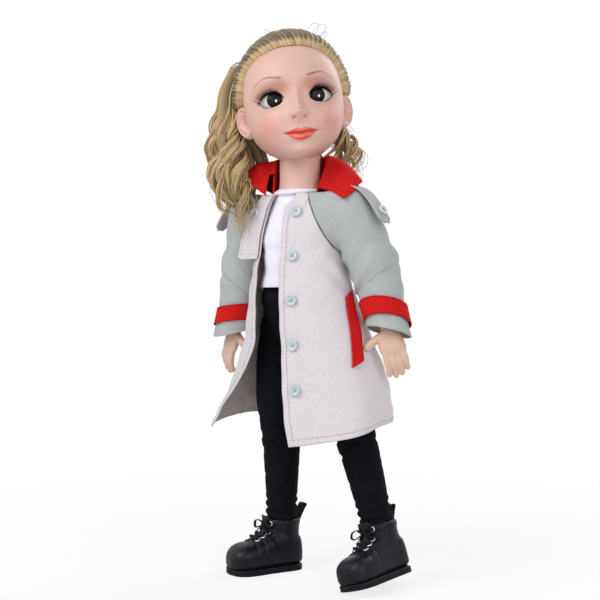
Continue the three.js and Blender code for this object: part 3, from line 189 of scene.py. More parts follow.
def path(points, count):
    """Evenly spaced places on a smooth line through a few points."""
    points = np.asarray(points, float)
    run = run_length(points)
    fine = through(run, points, np.linspace(0, run[-1], 8 * count))
    run = run_length(fine)
    return places_on(fine, run, np.linspace(0, run[-1], count))


def frames(line):
    """Tangent and two steady side directions along a line."""
    tangent = unit(np.gradient(line, axis=0))
    first = np.cross(tangent[0], (0.3, 0.2, 0.9))
    side = [first / np.linalg.norm(first)]
    for t in tangent[1:]:
        s = side[-1] - t * np.dot(side[-1], t)
        side.append(s / np.linalg.norm(s))
    side = np.array(side)
    return tangent, side, np.cross(tangent, side)


def swept(line, radius, sides=8, flat=1.0, lobes=0, depth=0.0):
    """Rings of a tube along a line; flat squeezes it and lobes groove it lengthwise."""
    _, u, v = frames(line)
    angle = circle(sides)
    radius = np.broadcast_to(np.asarray(radius, float), (len(line),))
    reach = 1 + depth * np.cos(lobes * angle)
    across = (reach * np.cos(angle))[None, :, None] * u[:, None]
    across = across + (flat * reach * np.sin(angle))[None, :, None] * v[:, None]
    return line[:, None] + radius[:, None, None] * across


def grid_faces(rows, cols, around=False):
    r = np.arange(rows - 1)[:, None]
    c = np.arange(cols if around else cols - 1)[None, :]
    n = (c + 1) % cols
    low, high = r * cols, (r + 1) * cols
    quads = np.stack(np.broadcast_arrays(low + c, low + n, high + n, high + c), -1)
    return quads.reshape(-1, 4).tolist()


def closed_faces(rows, cols):
    """Faces of a tube's rings, with both ends closed."""
    faces = grid_faces(rows, cols, True)
    faces.append(list(range(cols))[::-1])
    faces.append([(rows - 1) * cols + i for i in range(cols)])
    return faces


class Build:
    """Collects grids and tubes for one piece."""

    def __init__(self):
        self.points = []
        self.faces = []
        self.uv = []
        self.count = 0

    def add(self, points, faces, uv=None):
        points = np.asarray(points, float).reshape(-1, 3)
        self.faces += [[i + self.count for i in face] for face in faces]
        self.points.append(points)
        self.uv.append(np.zeros((len(points), 2)) if uv is None else np.asarray(uv, float).reshape(-1, 2))
        self.count += len(points)

    def sheet(self, points, around=False):
        rows, cols = points.shape[:2]
        u, v = np.meshgrid(np.linspace(0, 1, cols), np.linspace(0, 1, rows))
        self.add(points, grid_faces(rows, cols, around), np.stack((u, v), -1))

    def tube(self, rings, seed=0.0):
        rows, cols = rings.shape[:2]
        u, v = np.meshgrid(np.linspace(0, 1, cols) + seed, np.linspace(0, 1, rows))
        self.add(rings, closed_faces(rows, cols), np.stack((u, v), -1))

    def piece(self, name, finish=None, place=None, outward=True):
        """Makes the piece, with its faces turned outwards unless it is an open sheet."""
        points = (carried(np.concatenate(self.points), place) + SHIFT) * MM
        mesh = bpy.data.meshes.new(name)
        mesh.from_pydata(points.tolist(), [], self.faces)
        mesh.update()
        layer = mesh.uv_layers.new(name="UVMap")
        loops = np.zeros(len(mesh.loops), dtype=np.int32)
        mesh.loops.foreach_get("vertex_index", loops)
        layer.data.foreach_set("uv", np.concatenate(self.uv)[loops].astype(np.float32).ravel())
        obj = bpy.data.objects.new(name, mesh)
        bpy.context.collection.objects.link(obj)
        if outward:
            edit = bmesh.new()
            edit.from_mesh(mesh)
            bmesh.ops.recalc_face_normals(edit, faces=edit.faces)
            edit.to_mesh(mesh)
            edit.free()
        mesh.polygons.foreach_set("use_smooth", [True] * len(mesh.polygons))
        if finish:
            mesh.materials.append(finish)
        return obj


def closed(name, rings, finish=None, place=None):
    """Piece of one closed tube."""
    shell = Build()
    shell.tube(rings)
    return shell.piece(name, finish, place)


def cloth(name, points, finish, place=None, around=False):
    """Piece of one open sheet or, around, of one open tube that looks away from its middle line."""
    shell = Build()
    shell.sheet(points, around)
    obj = shell.piece(name, finish, place, around)
    if around:
        line = (carried(points.mean(axis=1), place) + SHIFT) * MM
        face_away(obj, lambda c: c - Vector(line[np.argmin(((line - np.array(c)) ** 2).sum(1))]))
    return obj


def face_away(obj, direction):
    """Flips a sheet whose faces look, on the whole, against the direction wanted at their middles."""
    if sum(p.area * p.normal.dot(direction(p.center)) for p in obj.data.polygons) < 0:
        obj.data.flip_normals()


def from_middle(place):
    """Direction level and away from the doll's middle."""
    return place - Vector((SHIFT[0] * MM, SHIFT[1] * MM, place.z))


def modify(obj, kind, **values):
    """Adds a modifier and applies it."""
    bpy.ops.object.select_all(action="DESELECT")
    obj.select_set(True)
    bpy.context.view_layer.objects.active = obj
    name = obj.modifiers.new(kind.title(), kind).name
    for key, value in values.items():
        setattr(obj.modifiers[name], key, value)
    bpy.ops.object.modifier_apply(modifier=name)


def mask(obj, name, values):
    layer = obj.data.attributes.new(name, "FLOAT", "POINT")
    layer.data.foreach_set("value", np.asarray(values, np.float32))


# Finishes


def srgb(red, green, blue):
    def linear(c):
        c = c / 255
        return c / 12.92 if c <= 0.04045 else ((c + 0.055) / 1.055) ** 2.4
    return (linear(red), linear(green), linear(blue), 1)


class Finish:
    """A procedural material, with short ways to add its nodes."""

    def __init__(self, name, color, roughness, **sockets):
        self.mat = bpy.data.materials.new(name)
        self.mat.use_nodes = True
        self.tree = self.mat.node_tree
        self.shader = self.tree.nodes["Principled BSDF"]
        self.shader.inputs["Base Color"].default_value = color
        self.shader.inputs["Roughness"].default_value = roughness
        for key, value in sockets.items():
            self.shader.inputs[key.replace("_", " ")].default_value = value

    def node(self, kind, inputs=None, **props):
        n = self.tree.nodes.new("ShaderNode" + kind)
        for key, value in props.items():
            setattr(n, key, value)
        for key, value in (inputs or {}).items():
            self.put(n.inputs[key], value)
        return n

    def put(self, socket, value):
        if isinstance(value, bpy.types.NodeSocket):
            self.tree.links.new(value, socket)
        else:
            socket.default_value = value

    def set(self, key, value):
        self.put(self.shader.inputs[key], value)

    def place(self, scale=(1, 1, 1), kind="Object"):
        coord = self.node("TexCoord").outputs[kind]
        return self.node("Mapping", {"Vector": coord, "Scale": scale}).outputs[0]

    def noise(self, scale, detail=3.0, vector=None, rough=0.5):
        return self.node("TexNoise", {"Vector": vector or self.place(), "Scale": scale, "Detail": detail,
                                      "Roughness": rough}).outputs["Fac"]

    def wave(self, scale, direction, distort):
        return self.node("TexWave", {"Vector": self.place(), "Scale": scale, "Distortion": distort},
                         bands_direction=direction).outputs["Fac"]

    def math(self, operation, a, b):
        return self.node("Math", {0: a, 1: b}, operation=operation).outputs[0]

    def paint(self, tone, name, share, color):
        """Lays a colour over a tone, where a mask of the piece has it."""
        return self.mix(self.math("MULTIPLY", self.attribute(name), share), tone, color)

    def mix(self, factor, a, b):
        n = self.node("Mix", data_type="RGBA")
        self.put(n.inputs[0], factor)
        self.put(n.inputs[6], a)
        self.put(n.inputs[7], b)
        return n.outputs[2]

    def between(self, value, low, high, a=0.0, b=1.0):
        return self.node("MapRange", {"Value": value, "From Min": low, "From Max": high, "To Min": a,
                                      "To Max": b}).outputs[0]

    def attribute(self, name):
        return self.node("Attribute", attribute_name=name).outputs["Fac"]

    def bump(self, height, strength, distance):
        n = self.node("Bump", {"Height": height, "Strength": strength, "Distance": distance})
        self.set("Normal", n.outputs[0])


def vinyl(name, masks):
    """Skin of the head or, without its painted masks, of the limbs."""
    pale, deep = srgb(215, 184, 164), srgb(207, 173, 151)
    if masks:
        pale, deep = srgb(216, 180, 166), srgb(209, 170, 155)
    f = Finish(name, pale, 0.42, Subsurface_Weight=0.06, Subsurface_Scale=0.002, Specular_IOR_Level=0.35)
    f.shader.inputs["Subsurface Radius"].default_value = (1, 0.35, 0.2)
    tone = f.mix(f.noise(60, 2), deep, pale)
    rough = f.between(f.noise(500, 2), 0.3, 0.7, 0.4, 0.5)
    if masks:
        tone = f.paint(tone, "blush", 0.45, srgb(226, 128, 124))
        tone = f.paint(tone, "shadow", 0.6, srgb(176, 104, 86))
        # Painted shade in the nostrils and in the hollows of the ears
        tone = f.paint(tone, "hollow", 0.7, srgb(176, 92, 54))
        brow_hairs = f.between(f.noise(2600, 2, f.place((1, 1, 0.25))), 0.3, 0.6, 0.75, 1.0)
        tone = f.paint(tone, "brow", brow_hairs, srgb(138, 84, 72))
        lips = f.mix(f.noise(1400, 3, f.place((1, 1, 0.2))), srgb(210, 78, 62), srgb(226, 98, 80))
        tone = f.mix(f.attribute("lip"), tone, lips)
        # Painted highlight on the lips
        tone = f.paint(tone, "shine", 0.6, srgb(255, 188, 172))
        tone = f.paint(tone, "mouth", 0.6, srgb(150, 44, 40))
        tone = f.mix(f.attribute("liner"), tone, srgb(9, 6, 6))
        rough = f.mix(f.attribute("lip"), rough, (0.22, 0.22, 0.22, 1))
    f.set("Base Color", tone)
    f.set("Roughness", rough)
    f.bump(f.noise(1500, 2), 0.05, 0.0002)
    return f.mat


def woven(name, color, dark, rough=0.85, weave=2200, strength=0.16):
    """Cloth with a plain weave and a little unevenness in its dye."""
    f = Finish(name, color, rough, Specular_IOR_Level=0.2)
    over = f.wave(weave, "X", 0.6)
    under = f.wave(weave, "Z", 0.6)
    threads = f.math("MULTIPLY", over, under)
    slubs = f.noise(900, 3, f.place((1, 1, 0.45)))
    tone = f.mix(f.between(slubs, 0.3, 0.75), color, dark)
    tone = f.mix(f.between(threads, 0.0, 1.0, 0.3, 0.0), tone, dark)
    f.set("Base Color", tone)
    f.bump(f.math("ADD", threads, f.math("MULTIPLY", slubs, 0.5)), strength, 0.0002)
    return f.mat


KNIT_RIBS = 1150


def knit(name, color, dark, rough=0.88, shine=0.2):
    """Fine jersey with ribs down its length."""
    f = Finish(name, color, rough, Specular_IOR_Level=shine)
    ribs = f.wave(KNIT_RIBS, "X", 0.3)
    loops = f.wave(KNIT_RIBS * 1.3, "Z", 0.5)
    loops = f.math("MULTIPLY", ribs, loops)
    tone = f.mix(f.between(loops, 0.0, 1.0, 0.3, 0.0), color, dark)
    tone = f.mix(f.between(f.noise(160, 3), 0.4, 0.75, 0.0, 0.5), tone, dark)
    f.set("Base Color", tone)
    f.bump(loops, 0.2, 0.0002)
    return f.mat


def strands(name, shade_color, light, deep):
    """Hair: streaks along each lock, darkened by a mask of painted shade and random tone."""
    f = Finish(name, light, 0.42, Specular_IOR_Level=0.35)
    fine = f.noise(46, 4, f.place((1, 0.045, 1), "UV"), 0.65)
    broad = f.noise(5, 2, f.place((1, 0.1, 1), "UV"))
    tone = f.mix(f.between(fine, 0.3, 0.57), deep, light)
    tone = f.mix(f.between(broad, 0.42, 0.62, 0.0, 0.6), tone, deep)
    # Painted shade: the mask darkens the hair in its grooves, underneath and behind the ringlets, and by a
    # random share per ringlet
    tone = f.mix(f.attribute("painted_shade_and_tone"), tone, shade_color)
    f.set("Base Color", tone)
    f.bump(fine, 0.5, 0.0006)
    return f.mat


def leather(name, color, dark, rough):
    f = Finish(name, color, rough, Coat_Weight=0.04, Coat_Roughness=0.3, Specular_IOR_Level=0.16)
    cells = f.node("TexVoronoi", {"Vector": f.place(), "Scale": 1500}, feature="DISTANCE_TO_EDGE").outputs[0]
    creases = f.noise(160, 4, f.place((1, 1, 1.6)))
    f.set("Base Color", f.mix(f.between(creases, 0.35, 0.7), color, dark))
    f.set("Roughness", f.between(creases, 0.3, 0.7, rough - 0.08, rough + 0.12))
    f.bump(f.math("ADD", cells, f.math("MULTIPLY", creases, 0.6)), 0.15, 0.0003)
    return f.mat


def moulded(name, color, dark, rough, **sockets):
    f = Finish(name, color, rough, **sockets)
    f.set("Base Color", f.mix(f.between(f.noise(220, 3), 0.35, 0.7), color, dark))
    f.set("Roughness", f.between(f.noise(700, 2), 0.3, 0.7, rough - 0.05, rough + 0.08))
    f.bump(f.noise(1800, 2), 0.05, 0.0002)
    return f.mat


def metal(name, color, rough):
    f = Finish(name, color, rough, Metallic=1.0)
    f.set("Roughness", f.between(f.noise(900, 3, f.place((1, 1, 6))), 0.3, 0.7, rough - 0.08, rough + 0.1))
    return f.mat


FACE = vinyl("vinyl_painted", True)
SKIN = vinyl("vinyl_plain", False)
COAT = woven("coat_cloth", srgb(220, 213, 218), srgb(206, 200, 205))
LINING = woven("coat_lining", srgb(184, 173, 171), srgb(164, 153, 151))
SLEEVE = woven("sleeve_cloth", srgb(180, 184, 182), srgb(166, 171, 170))
RED = woven("red_cloth", srgb(212, 24, 24), srgb(186, 14, 16))
# Painted shade: the same red cloth, darker, for its inner faces
RED_PAINTED_SHADE = woven("red_cloth_painted_shade", srgb(104, 12, 16), srgb(70, 8, 12))
SHIRT = knit("shirt_jersey", srgb(240, 239, 248), srgb(222, 221, 232))
TROUSERS = knit("trouser_jersey", srgb(19, 19, 25), srgb(8, 8, 12), 0.9, 0.08)
LEATHER = leather("boot_leather", srgb(22, 24, 31), srgb(12, 13, 18), 0.36)
RUBBER = moulded("sole_rubber", srgb(17, 18, 23), srgb(10, 11, 14), 0.55, Specular_IOR_Level=0.15)
LACE = woven("lace_braid", srgb(18, 18, 22), srgb(8, 8, 11), 0.7, 2600, 0.5)
EYELET = metal("eyelet_metal", srgb(186, 190, 194), 0.28)
STEEL = metal("pin_steel", srgb(160, 162, 166), 0.35)
PEG = moulded("peg_plastic", srgb(216, 207, 198), srgb(200, 190, 180), 0.45)
BUTTON = moulded("button_plastic", srgb(198, 211, 210), srgb(184, 198, 198), 0.3, Specular_IOR_Level=0.4)
THREAD = woven("thread", srgb(206, 202, 205), srgb(180, 176, 180), 0.8, 3000, 0.4)
RED_THREAD = woven("red_thread", srgb(150, 14, 16), srgb(110, 8, 10), 0.8, 3000, 0.4)
# The first colour is the hair in painted shade
HAIR = strands("hair_fibre", srgb(82, 68, 47), srgb(230, 205, 158), srgb(152, 118, 76))
LASH = moulded("lash_fibre", srgb(20, 14, 13), srgb(10, 7, 7), 0.5, Specular_IOR_Level=0.2)


# Head

HEAD_COLS = 300
HEAD_HALF_WIDTH = 33.0
FACE_DEPTH = 36.0
SKULL_DEPTH = 39.0
SKULL_RISE = 43.0
CHIN_DROP = 38.6
EYE_AT = np.array((14.8, -21.9, -1.9))
EYE_SIZE = np.array((10.6, 7.2, 8.6))
EYE_SLANT = 25
EYE_OPENING = np.array((15.6, -2.1))
EYE_HALF = 7.5
EYE_UP = 3.9
EYE_DOWN = 3.8
LID_BLEND = 1.6
UPPER_LASHES = 30
LOWER_LASHES = 13
LOOK = np.array((13.8, -1.9))
EAR_HEIGHT = -9.8
MOUTH_HEIGHT = -25.3


def head_size(z):
    """Half-width, depth to the front, depth to the back and squareness of the head at a height."""
    w, f, s = HEAD_HALF_WIDTH, FACE_DEPTH, SKULL_DEPTH
    rows = [
        (-CHIN_DROP, 7, f - 10, -12, 2),
        (-CHIN_DROP + 1.5, 12, f - 6, 2, 2.2),
        (-CHIN_DROP + 5, w - 14.5, f - 3.5, 12, 2.2),
        (-28, w - 8, f - 1.5, s - 13, 2.2),
        (-22, w - 4, f - 0.5, s - 7, 2.2),
        (-15, w - 1.6, f, s - 2, 2.1),
        (-8, w - 0.4, f, s, 2),
        (0, w, f, s, 2),
        (9, w - 0.4, f - 0.4, s, 2),
        (18, w - 2.2, f - 2.4, s - 2, 2),
        (27, w - 6.5, f - 8, s - 7, 2),
        (35, w - 14, f - 16, s - 16, 2),
        (SKULL_RISE - 2, w - 23, f - 26, s - 27, 2),
        (SKULL_RISE, 3, 3, 4, 2),
    ]
    rows = np.array(rows, float)
    return through(rows[:, 0], rows[:, 1:], np.asarray(z, float)).T


def head_point(angle, z):
    """Point on the plain head at an angle from the front, towards the doll's left."""
    a, front, back, power = head_size(z)
    sin, cos = np.sin(angle), np.cos(angle)
    shape = lambda v: np.sign(v) * np.abs(v) ** (2 / power)
    return grid(a * shape(sin), -np.where(cos > 0, front, back) * shape(cos), z)


def eye_front(side, x, z):
    """How far forward an eyeball reaches at a place seen from the front, or very little beside it."""
    slant = math.radians(EYE_SLANT)
    tx, ty = math.cos(slant), side * math.sin(slant)
    nx, ny = side * math.sin(slant), -math.cos(slant)
    a, b, c = EYE_SIZE
    dx, dz = x - side * EYE_AT[0], (z - EYE_AT[2]) / c
    qa = ty * ty / a**2 + ny * ny / b**2
    qb = 2 * dx * (tx * ty / a**2 + nx * ny / b**2)
    qc = dx * dx * (tx * tx / a**2 + nx * nx / b**2) + dz * dz - 1
    inside = qb * qb - 4 * qa * qc
    y = EYE_AT[1] + (-qb - np.sqrt(np.maximum(inside, 0))) / (2 * qa)
    return np.where(inside > 0, -y, 0.0)


def eye_distance(side, x, z):
    """Below 1 inside an eye's opening; also the place across it and whether it is the upper half."""
    across = (side * x - EYE_OPENING[0]) / EYE_HALF
    up = z - EYE_OPENING[1] + 0.3 * across
    width = np.sqrt(np.maximum(1 - np.minimum(np.abs(across), 1) ** 2.4, 1e-4))
    height = np.where(up > 0, EYE_UP, EYE_DOWN) * width ** 1.1
    near = np.sqrt(across**2 * 0.15 + (up / np.maximum(height, 0.3)) ** 2 * 0.85)
    return np.maximum(near, np.abs(across)), across, up


def mouth_line(x):
    return MOUTH_HEIGHT + 0.0065 * x**2 - 0.3 * np.cos(x * 0.75) * ridge(x, 5)


def lip_share(x, z):
    """Upper and lower lip, each 1 inside its painted outline."""
    line = mouth_line(x)
    upper = 3.1 * np.maximum(1 - (np.abs(x) / 11.2) ** 1.7, 0) * (1 - 0.14 * ridge(x, 1.7))
    lower = 4.7 * np.maximum(1 - (np.abs(x) / 9.6) ** 2.7, 0)
    top = ease(line + upper - z, -0.3, 0.35) * ease(z - line, -0.2, 0.1) * (upper > 0.12)
    low = ease(z - line + lower, -0.35, 0.4) * ease(line - z, -0.2, 0.1) * (lower > 0.12)
    return top, low


def face_relief(x, z):
    """How far the face stands out from the plain head at a place seen from the front."""
    ax = np.abs(x)
    nose = 5.4 * bump(x, z + 12.4, 3.9, 3.4) + 2.3 * bump(x, z + 4.5, 3.0, 7.5)
    nose += 1.8 * bump(ax - 4.1, z + 13.6, 2.0, 2.2) - 1.3 * bump(ax - 3.5, z + 15.5, 1.1, 0.75)
    line = mouth_line(x)
    lips = 1.9 * bump(x, z - line - 1.6, 8.2, 1.7) + 2.6 * bump(x, z - line + 2.3, 6.8, 2.1)
    lips -= 1.2 * ridge(z - line, 0.6) * ease(11.6 - ax, 0, 2.5)
    lips -= 0.6 * bump(ax - 11.8, z - line - 0.2, 1.6, 1.6)
    rest = -0.55 * bump(x, z + 19.2, 1.5, 2.4) - 0.9 * bump(x, z + 31.4, 7, 1.7)
    rest += 2.0 * bump(x, z + 35.6, 7.5, 4.4) + 1.4 * bump(ax - 19, z + 18, 10, 9)
    rest += -2.6 * bump(ax - 14.5, z + 1.8, 11, 8) + 0.9 * bump(ax - 14.5, z - 10.5, 11, 3.2)
    return nose + lips + rest


def face_height(x, z, depth):
    """Depth of the skin to the front, with the lids drawn over the eyes and the openings sunk."""
    out = depth + face_relief(x, z)
    for side in SIDES.values():
        near, across, up = eye_distance(side, x, z)
        lid = eye_front(side, x, z) + np.where(up > 0, 1.25, 0.75)
        hold = ease(2.0 - near, 0.0, 0.7) * (side * x > 2)
        h = np.clip(0.5 + 0.5 * (lid - out) / LID_BLEND, 0, 1)
        smooth = out * (1 - h) + lid * h + LID_BLEND * h * (1 - h)
        out = out * (1 - hold) + smooth * hold
        crease = ridge(near - 1.55, 0.12) * (up > 1) * ease(1.15 - np.abs(across), 0, 0.4)
        out = out - 0.55 * crease
        out = out - 5.5 * ease(1.07 - near, 0.0, 0.12) * (side * x > 2)
    return out


def paint_face(obj, x, z, front):
    """Masks for what is painted on the face: lips, cheeks, brows and the make-up round the eyes, with painted
    highlights on the lips and painted shade in the nostrils.
    """
    ax = np.abs(x)
    top, low = lip_share(x, z)
    line = mouth_line(x)
    mask(obj, "lip", np.clip(top + low, 0, 1) * front)
    # Painted highlights on the lower lip and a fainter one on the upper lip
    shine = 0.8 * bump(x + 2.2, z - line + 2.4, 3.6, 0.75) + 0.5 * bump(x - 5, z - line + 1.9, 1.6, 0.6)
    mask(obj, "shine", np.clip(shine + 0.35 * bump(x, z - line - 1.7, 4.5, 0.5), 0, 1) * front)
    mask(obj, "mouth", ridge(z - line, 0.45) * ease(12.2 - ax, 0, 2) * front)
    mask(obj, "blush", np.clip(bump(ax - 21, z + 20.5, 9.0, 9.5), 0, 1) * front)
    # Painted shade in the nostrils
    mask(obj, "hollow", np.clip(1.1 * bump(ax - 3.6, z + 15.5, 1.15, 0.75), 0, 1) * front)
    brow = np.zeros_like(x)
    liner = np.zeros_like(x)
    shadow = np.zeros_like(x)
    for side in SIDES.values():
        sx = side * x
        arch = 10.4 + 2.0 * ridge(sx - 17.5, 6.5) - 0.035 * np.maximum(sx - 18, 0) ** 2
        thick = 0.75 * ease(sx, 7.6, 9.5) * (1 - 0.7 * ease(sx, 11, 24))
        line = ridge(z - arch, np.maximum(thick, 0.05)) * (sx > 7.4) * (sx < 26)
        brow = np.maximum(brow, line)
        near, across, up = eye_distance(side, x, z)
        beside = ease(1.3 - np.abs(across), 0, 0.12) * (sx > 2)
        tall = ease(1.2 + 0.24 * ease(1 - np.abs(across), 0, 0.5) + 0.08 * across - near, 0, 0.08)
        upper = tall * ease(up, -0.6, 0.4)
        lower = 0.6 * ease(1.16 - near, 0, 0.1) * ease(-up, -0.2, 0.5)
        corner = bump(across - 1.06, up - 0.4, 0.16, 1.1)
        liner = np.maximum(liner, np.clip(np.maximum(np.maximum(upper, lower), corner), 0, 1) * beside)
        lid = bump(sx - 14, z - 5.0, 9.5, 4.2) + 0.5 * bump(sx - 9.5, z - 5.5, 4.5, 4.5)
        lid += 0.45 * bump(sx - 23, z + 0.5, 4.5, 4) + 0.4 * bump(sx - 15.5, z + 7.6, 8.5, 2)
        shadow = np.maximum(shadow, np.clip(lid, 0, 1))
    mask(obj, "brow", brow * front)
    mask(obj, "liner", liner * front)
    mask(obj, "shadow", shadow * front)


def build_head():
    spread = np.linspace(-1, 1, HEAD_COLS, endpoint=False)
    angles = np.pi * (0.55 * spread + 0.45 * spread**3)
    levels = np.concatenate((np.linspace(-CHIN_DROP, -36, 16, endpoint=False), np.linspace(-36, 15, 128),
                             np.linspace(15, SKULL_RISE, 34)[1:]))
    angle, z = np.meshgrid(angles, levels)
    points = head_point(angle.ravel(), z.ravel()).reshape(z.shape + (3,))
    x, depth = points[..., 0], -points[..., 1]
    fade = ease(depth, 6, 20)
    raised = face_height(x, z, depth)
    points[..., 1] = -(depth + (raised - depth) * fade)
    shell = Build()
    shell.add(points, closed_faces(*z.shape))
    obj = shell.piece("head_skin", FACE, "head")
    paint_face(obj, x.ravel(), z.ravel(), fade.ravel())
    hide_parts("head")
    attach(obj, "head")


def eye_material(side):
    """Iris, pupil, white with painted shade, painted reflection and painted glint of one eye, round its
    looking direction.
    """
    name = "eye_" + ("left" if side > 0 else "right")
    f = Finish(name, srgb(235, 230, 228), 0.2, Specular_IOR_Level=0.12)
    radius = f.attribute("iris")
    fibres = f.noise(70, 4, f.place((1, 0.06, 1), "UV"), 0.6)
    iris = f.mix(f.between(fibres, 0.35, 0.65), srgb(14, 9, 8), srgb(44, 26, 20))
    iris = f.mix(f.between(radius, 3.1, 4.4), iris, srgb(9, 6, 6))
    tone = f.mix(f.between(radius, 2.0, 2.4), srgb(5, 4, 4), iris)
    # Painted shade: the white is darker towards the corners and under the lids
    white = f.mix(f.between(radius, 5.5, 9.0), srgb(214, 206, 206), srgb(170, 150, 146))
    tone = f.mix(f.between(radius, 4.8, 5.05), tone, white)
    # Painted reflection: a soft grey patch on the iris beside the painted glint
    tone = f.paint(tone, "painted_reflection", 0.08, srgb(150, 146, 150))
    f.set("Base Color", f.mix(f.attribute("glint"), tone, srgb(250, 250, 250)))
    return f.mat


def build_eyes():
    for name, side in SIDES.items():
        around = circle(96)
        out = np.linspace(0.02, 0.62, 64) * np.pi
        a, o = np.meshgrid(around, out)
        ball = np.stack((np.sin(o) * np.cos(a), -np.cos(o), np.sin(o) * np.sin(a)), -1) * EYE_SIZE
        slant = side * math.radians(EYE_SLANT)
        x = ball[..., 0] * math.cos(slant) - ball[..., 1] * math.sin(slant)
        y = ball[..., 0] * math.sin(slant) + ball[..., 1] * math.cos(slant)
        points = np.stack((x + side * EYE_AT[0], y + EYE_AT[1], ball[..., 2] + EYE_AT[2]), -1)
        shell = Build()
        rows, cols = o.shape
        faces = grid_faces(rows, cols, True)
        faces.append(list(range(cols)))
        faces.append([(rows - 1) * cols + i for i in range(cols)][::-1])
        uv = np.stack((a / (2 * np.pi) * 8, o), -1)
        shell.add(points, faces, uv)
        obj = shell.piece("eye_ball_" + name, eye_material(side), "head")
        flat = points.reshape(-1, 3)
        dx, dz = flat[:, 0] - side * LOOK[0], flat[:, 2] - LOOK[1]
        mask(obj, "iris", np.hypot(dx, dz))
        front = (flat[:, 1] < EYE_AT[1]).astype(float)
        mask(obj, "glint", front * ease(1.15 - np.hypot((dx - 0.9) / 0.6, (dz + 0.8) / 0.85), 0, 0.3))
        # Painted reflection beside the glint
        mask(obj, "painted_reflection", front * bump(dx + 1.2, dz - 0.6, 1.7, 2.2))
        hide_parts("eye_" + name)
        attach(obj, "head")


# Hair

HAIR_DEPTH = 5.2
TIE = np.array((-16.0, 43.0, 4.0))
# Rows of the hair's underside at the hairline
UNDER = 12
LOCK_SIDES = 14
FULL_TURN = 6.28


def skull(directions, grow):
    """Places on the head in directions from its middle, grown outwards."""
    d = np.asarray(directions, float)
    depth = np.where(d[..., 1] < 0, FACE_DEPTH, SKULL_DEPTH)
    rise = np.where(d[..., 2] > 0, SKULL_RISE, CHIN_DROP)
    axes = np.stack((np.full(depth.shape, HEAD_HALF_WIDTH), depth, rise), -1)
    return d / np.linalg.norm(d / (axes + np.asarray(grow)[..., None]), axis=-1)[..., None]


def hairline(count):
    """Closed line where the hair grows from the head: forehead, temples, behind the ears and nape."""
    rows = [(-23.6, 32.4), (-17.5, 28.4), (-7.5, 19), (-4.5, 9.5), (0, 3), (8, 0), (14, -13), (17, -25),
            (20, -32)]
    left = []
    for y, z in rows:
        depth = FACE_DEPTH if y < 0 else SKULL_DEPTH
        rise = SKULL_RISE if z > 0 else CHIN_DROP
        left.append((HEAD_HALF_WIDTH * math.sqrt(max(1 - (y / depth) ** 2 - (z / rise) ** 2, 0)), y, z))
    left[0] = (0, left[0][1], left[0][2])
    left[-1] = (0, 22, -33)
    half = path(left, count // 2 + 1)
    return np.concatenate((half, half[::-1][1:-1] * (-1, 1, 1)))


def build_hair_cap():
    cols, rows = 720, 64
    roots = hairline(cols)
    axes = np.array((HEAD_HALF_WIDTH, 37.5, 41.5))
    start = unit(roots / axes)
    tie = unit(TIE / axes)
    share = np.linspace(0, 1, rows) ** 1.35
    angle = np.arccos(np.clip(start @ tie, -1, 1))
    t = share[:, None, None]
    w = angle[None, :, None]
    ways = (np.sin((1 - t) * w) * start + np.sin(t * w) * tie) / np.sin(w)
    along = circle(cols)
    pleats = 0.5 * np.sin(88 * along + 2.3 * np.sin(5 * along)) + 0.3 * np.sin(143 * along + 0.7)
    pleats += 0.35 * np.sin(31 * along + 2)
    near = np.clip(share / 0.09, 0, 1)[:, None]
    roll = np.sqrt(1 - (1 - near) ** 2)
    full = HAIR_DEPTH - 0.6 + 2.6 * np.abs(ways[..., 0]) ** 1.5 * ease(ways[..., 2], -0.35, 0.1)
    grow = 0.2 + full * roll + 0.7 * pleats * roll * (1 - 0.5 * share[:, None])
    grow = grow + 2.0 * ease(share, 0.8, 1)[:, None]
    points = skull(ways * axes, grow)
    shell = Build()
    faces = grid_faces(rows, cols, True)
    faces.append([(rows - 1) * cols + i for i in range(cols)])
    u, v = np.meshgrid(np.linspace(0, 18, cols), share * 2)
    shell.add(points, faces, np.stack((u, v), -1))
    inner = skull(ways[:UNDER] * axes, np.full((UNDER, cols), 0.1) + 0.2 * roll[:UNDER])
    shell.add(inner[::-1], grid_faces(UNDER, cols, True), np.stack((u[:UNDER], v[:UNDER]), -1))
    obj = shell.piece("hair_combed_back", HAIR, "head")
    # Painted shade: darker behind the light band at the hairline, more so in the grooves between pleats,
    # darkest on the underside rows
    dark = ease(share, 0.012, 0.042) * (1 - 0.5 * ease(share, 0.3, 0.8))
    dark = dark[:, None] * (0.85 - 0.25 * pleats) + 0.4 * np.clip(-pleats, 0, 1) * (1 - share[:, None])
    dark = np.concatenate((np.clip(dark, 0, 0.94).ravel(), np.full(UNDER * cols, 0.9)))
    mask(obj, "painted_shade_and_tone", dark)
    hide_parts("hair_cap")
    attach(obj, "head")


def add_lock(shell, line, thick, seed):
    along = np.linspace(0, 1, len(line))
    radius = thick * np.sin(np.pi * (0.1 + 0.87 * along)) ** 0.6
    shell.tube(swept(line, radius, LOCK_SIDES, 0.6, 5, 0.16), seed)


def curl(line, wide, turns, start):
    """A lock that winds round a line."""
    _, u, v = frames(line)
    spin = start + 2 * np.pi * turns * np.linspace(0, 1, len(line))
    return line + wide[:, None] * (np.cos(spin)[:, None] * u + np.sin(spin)[:, None] * v)


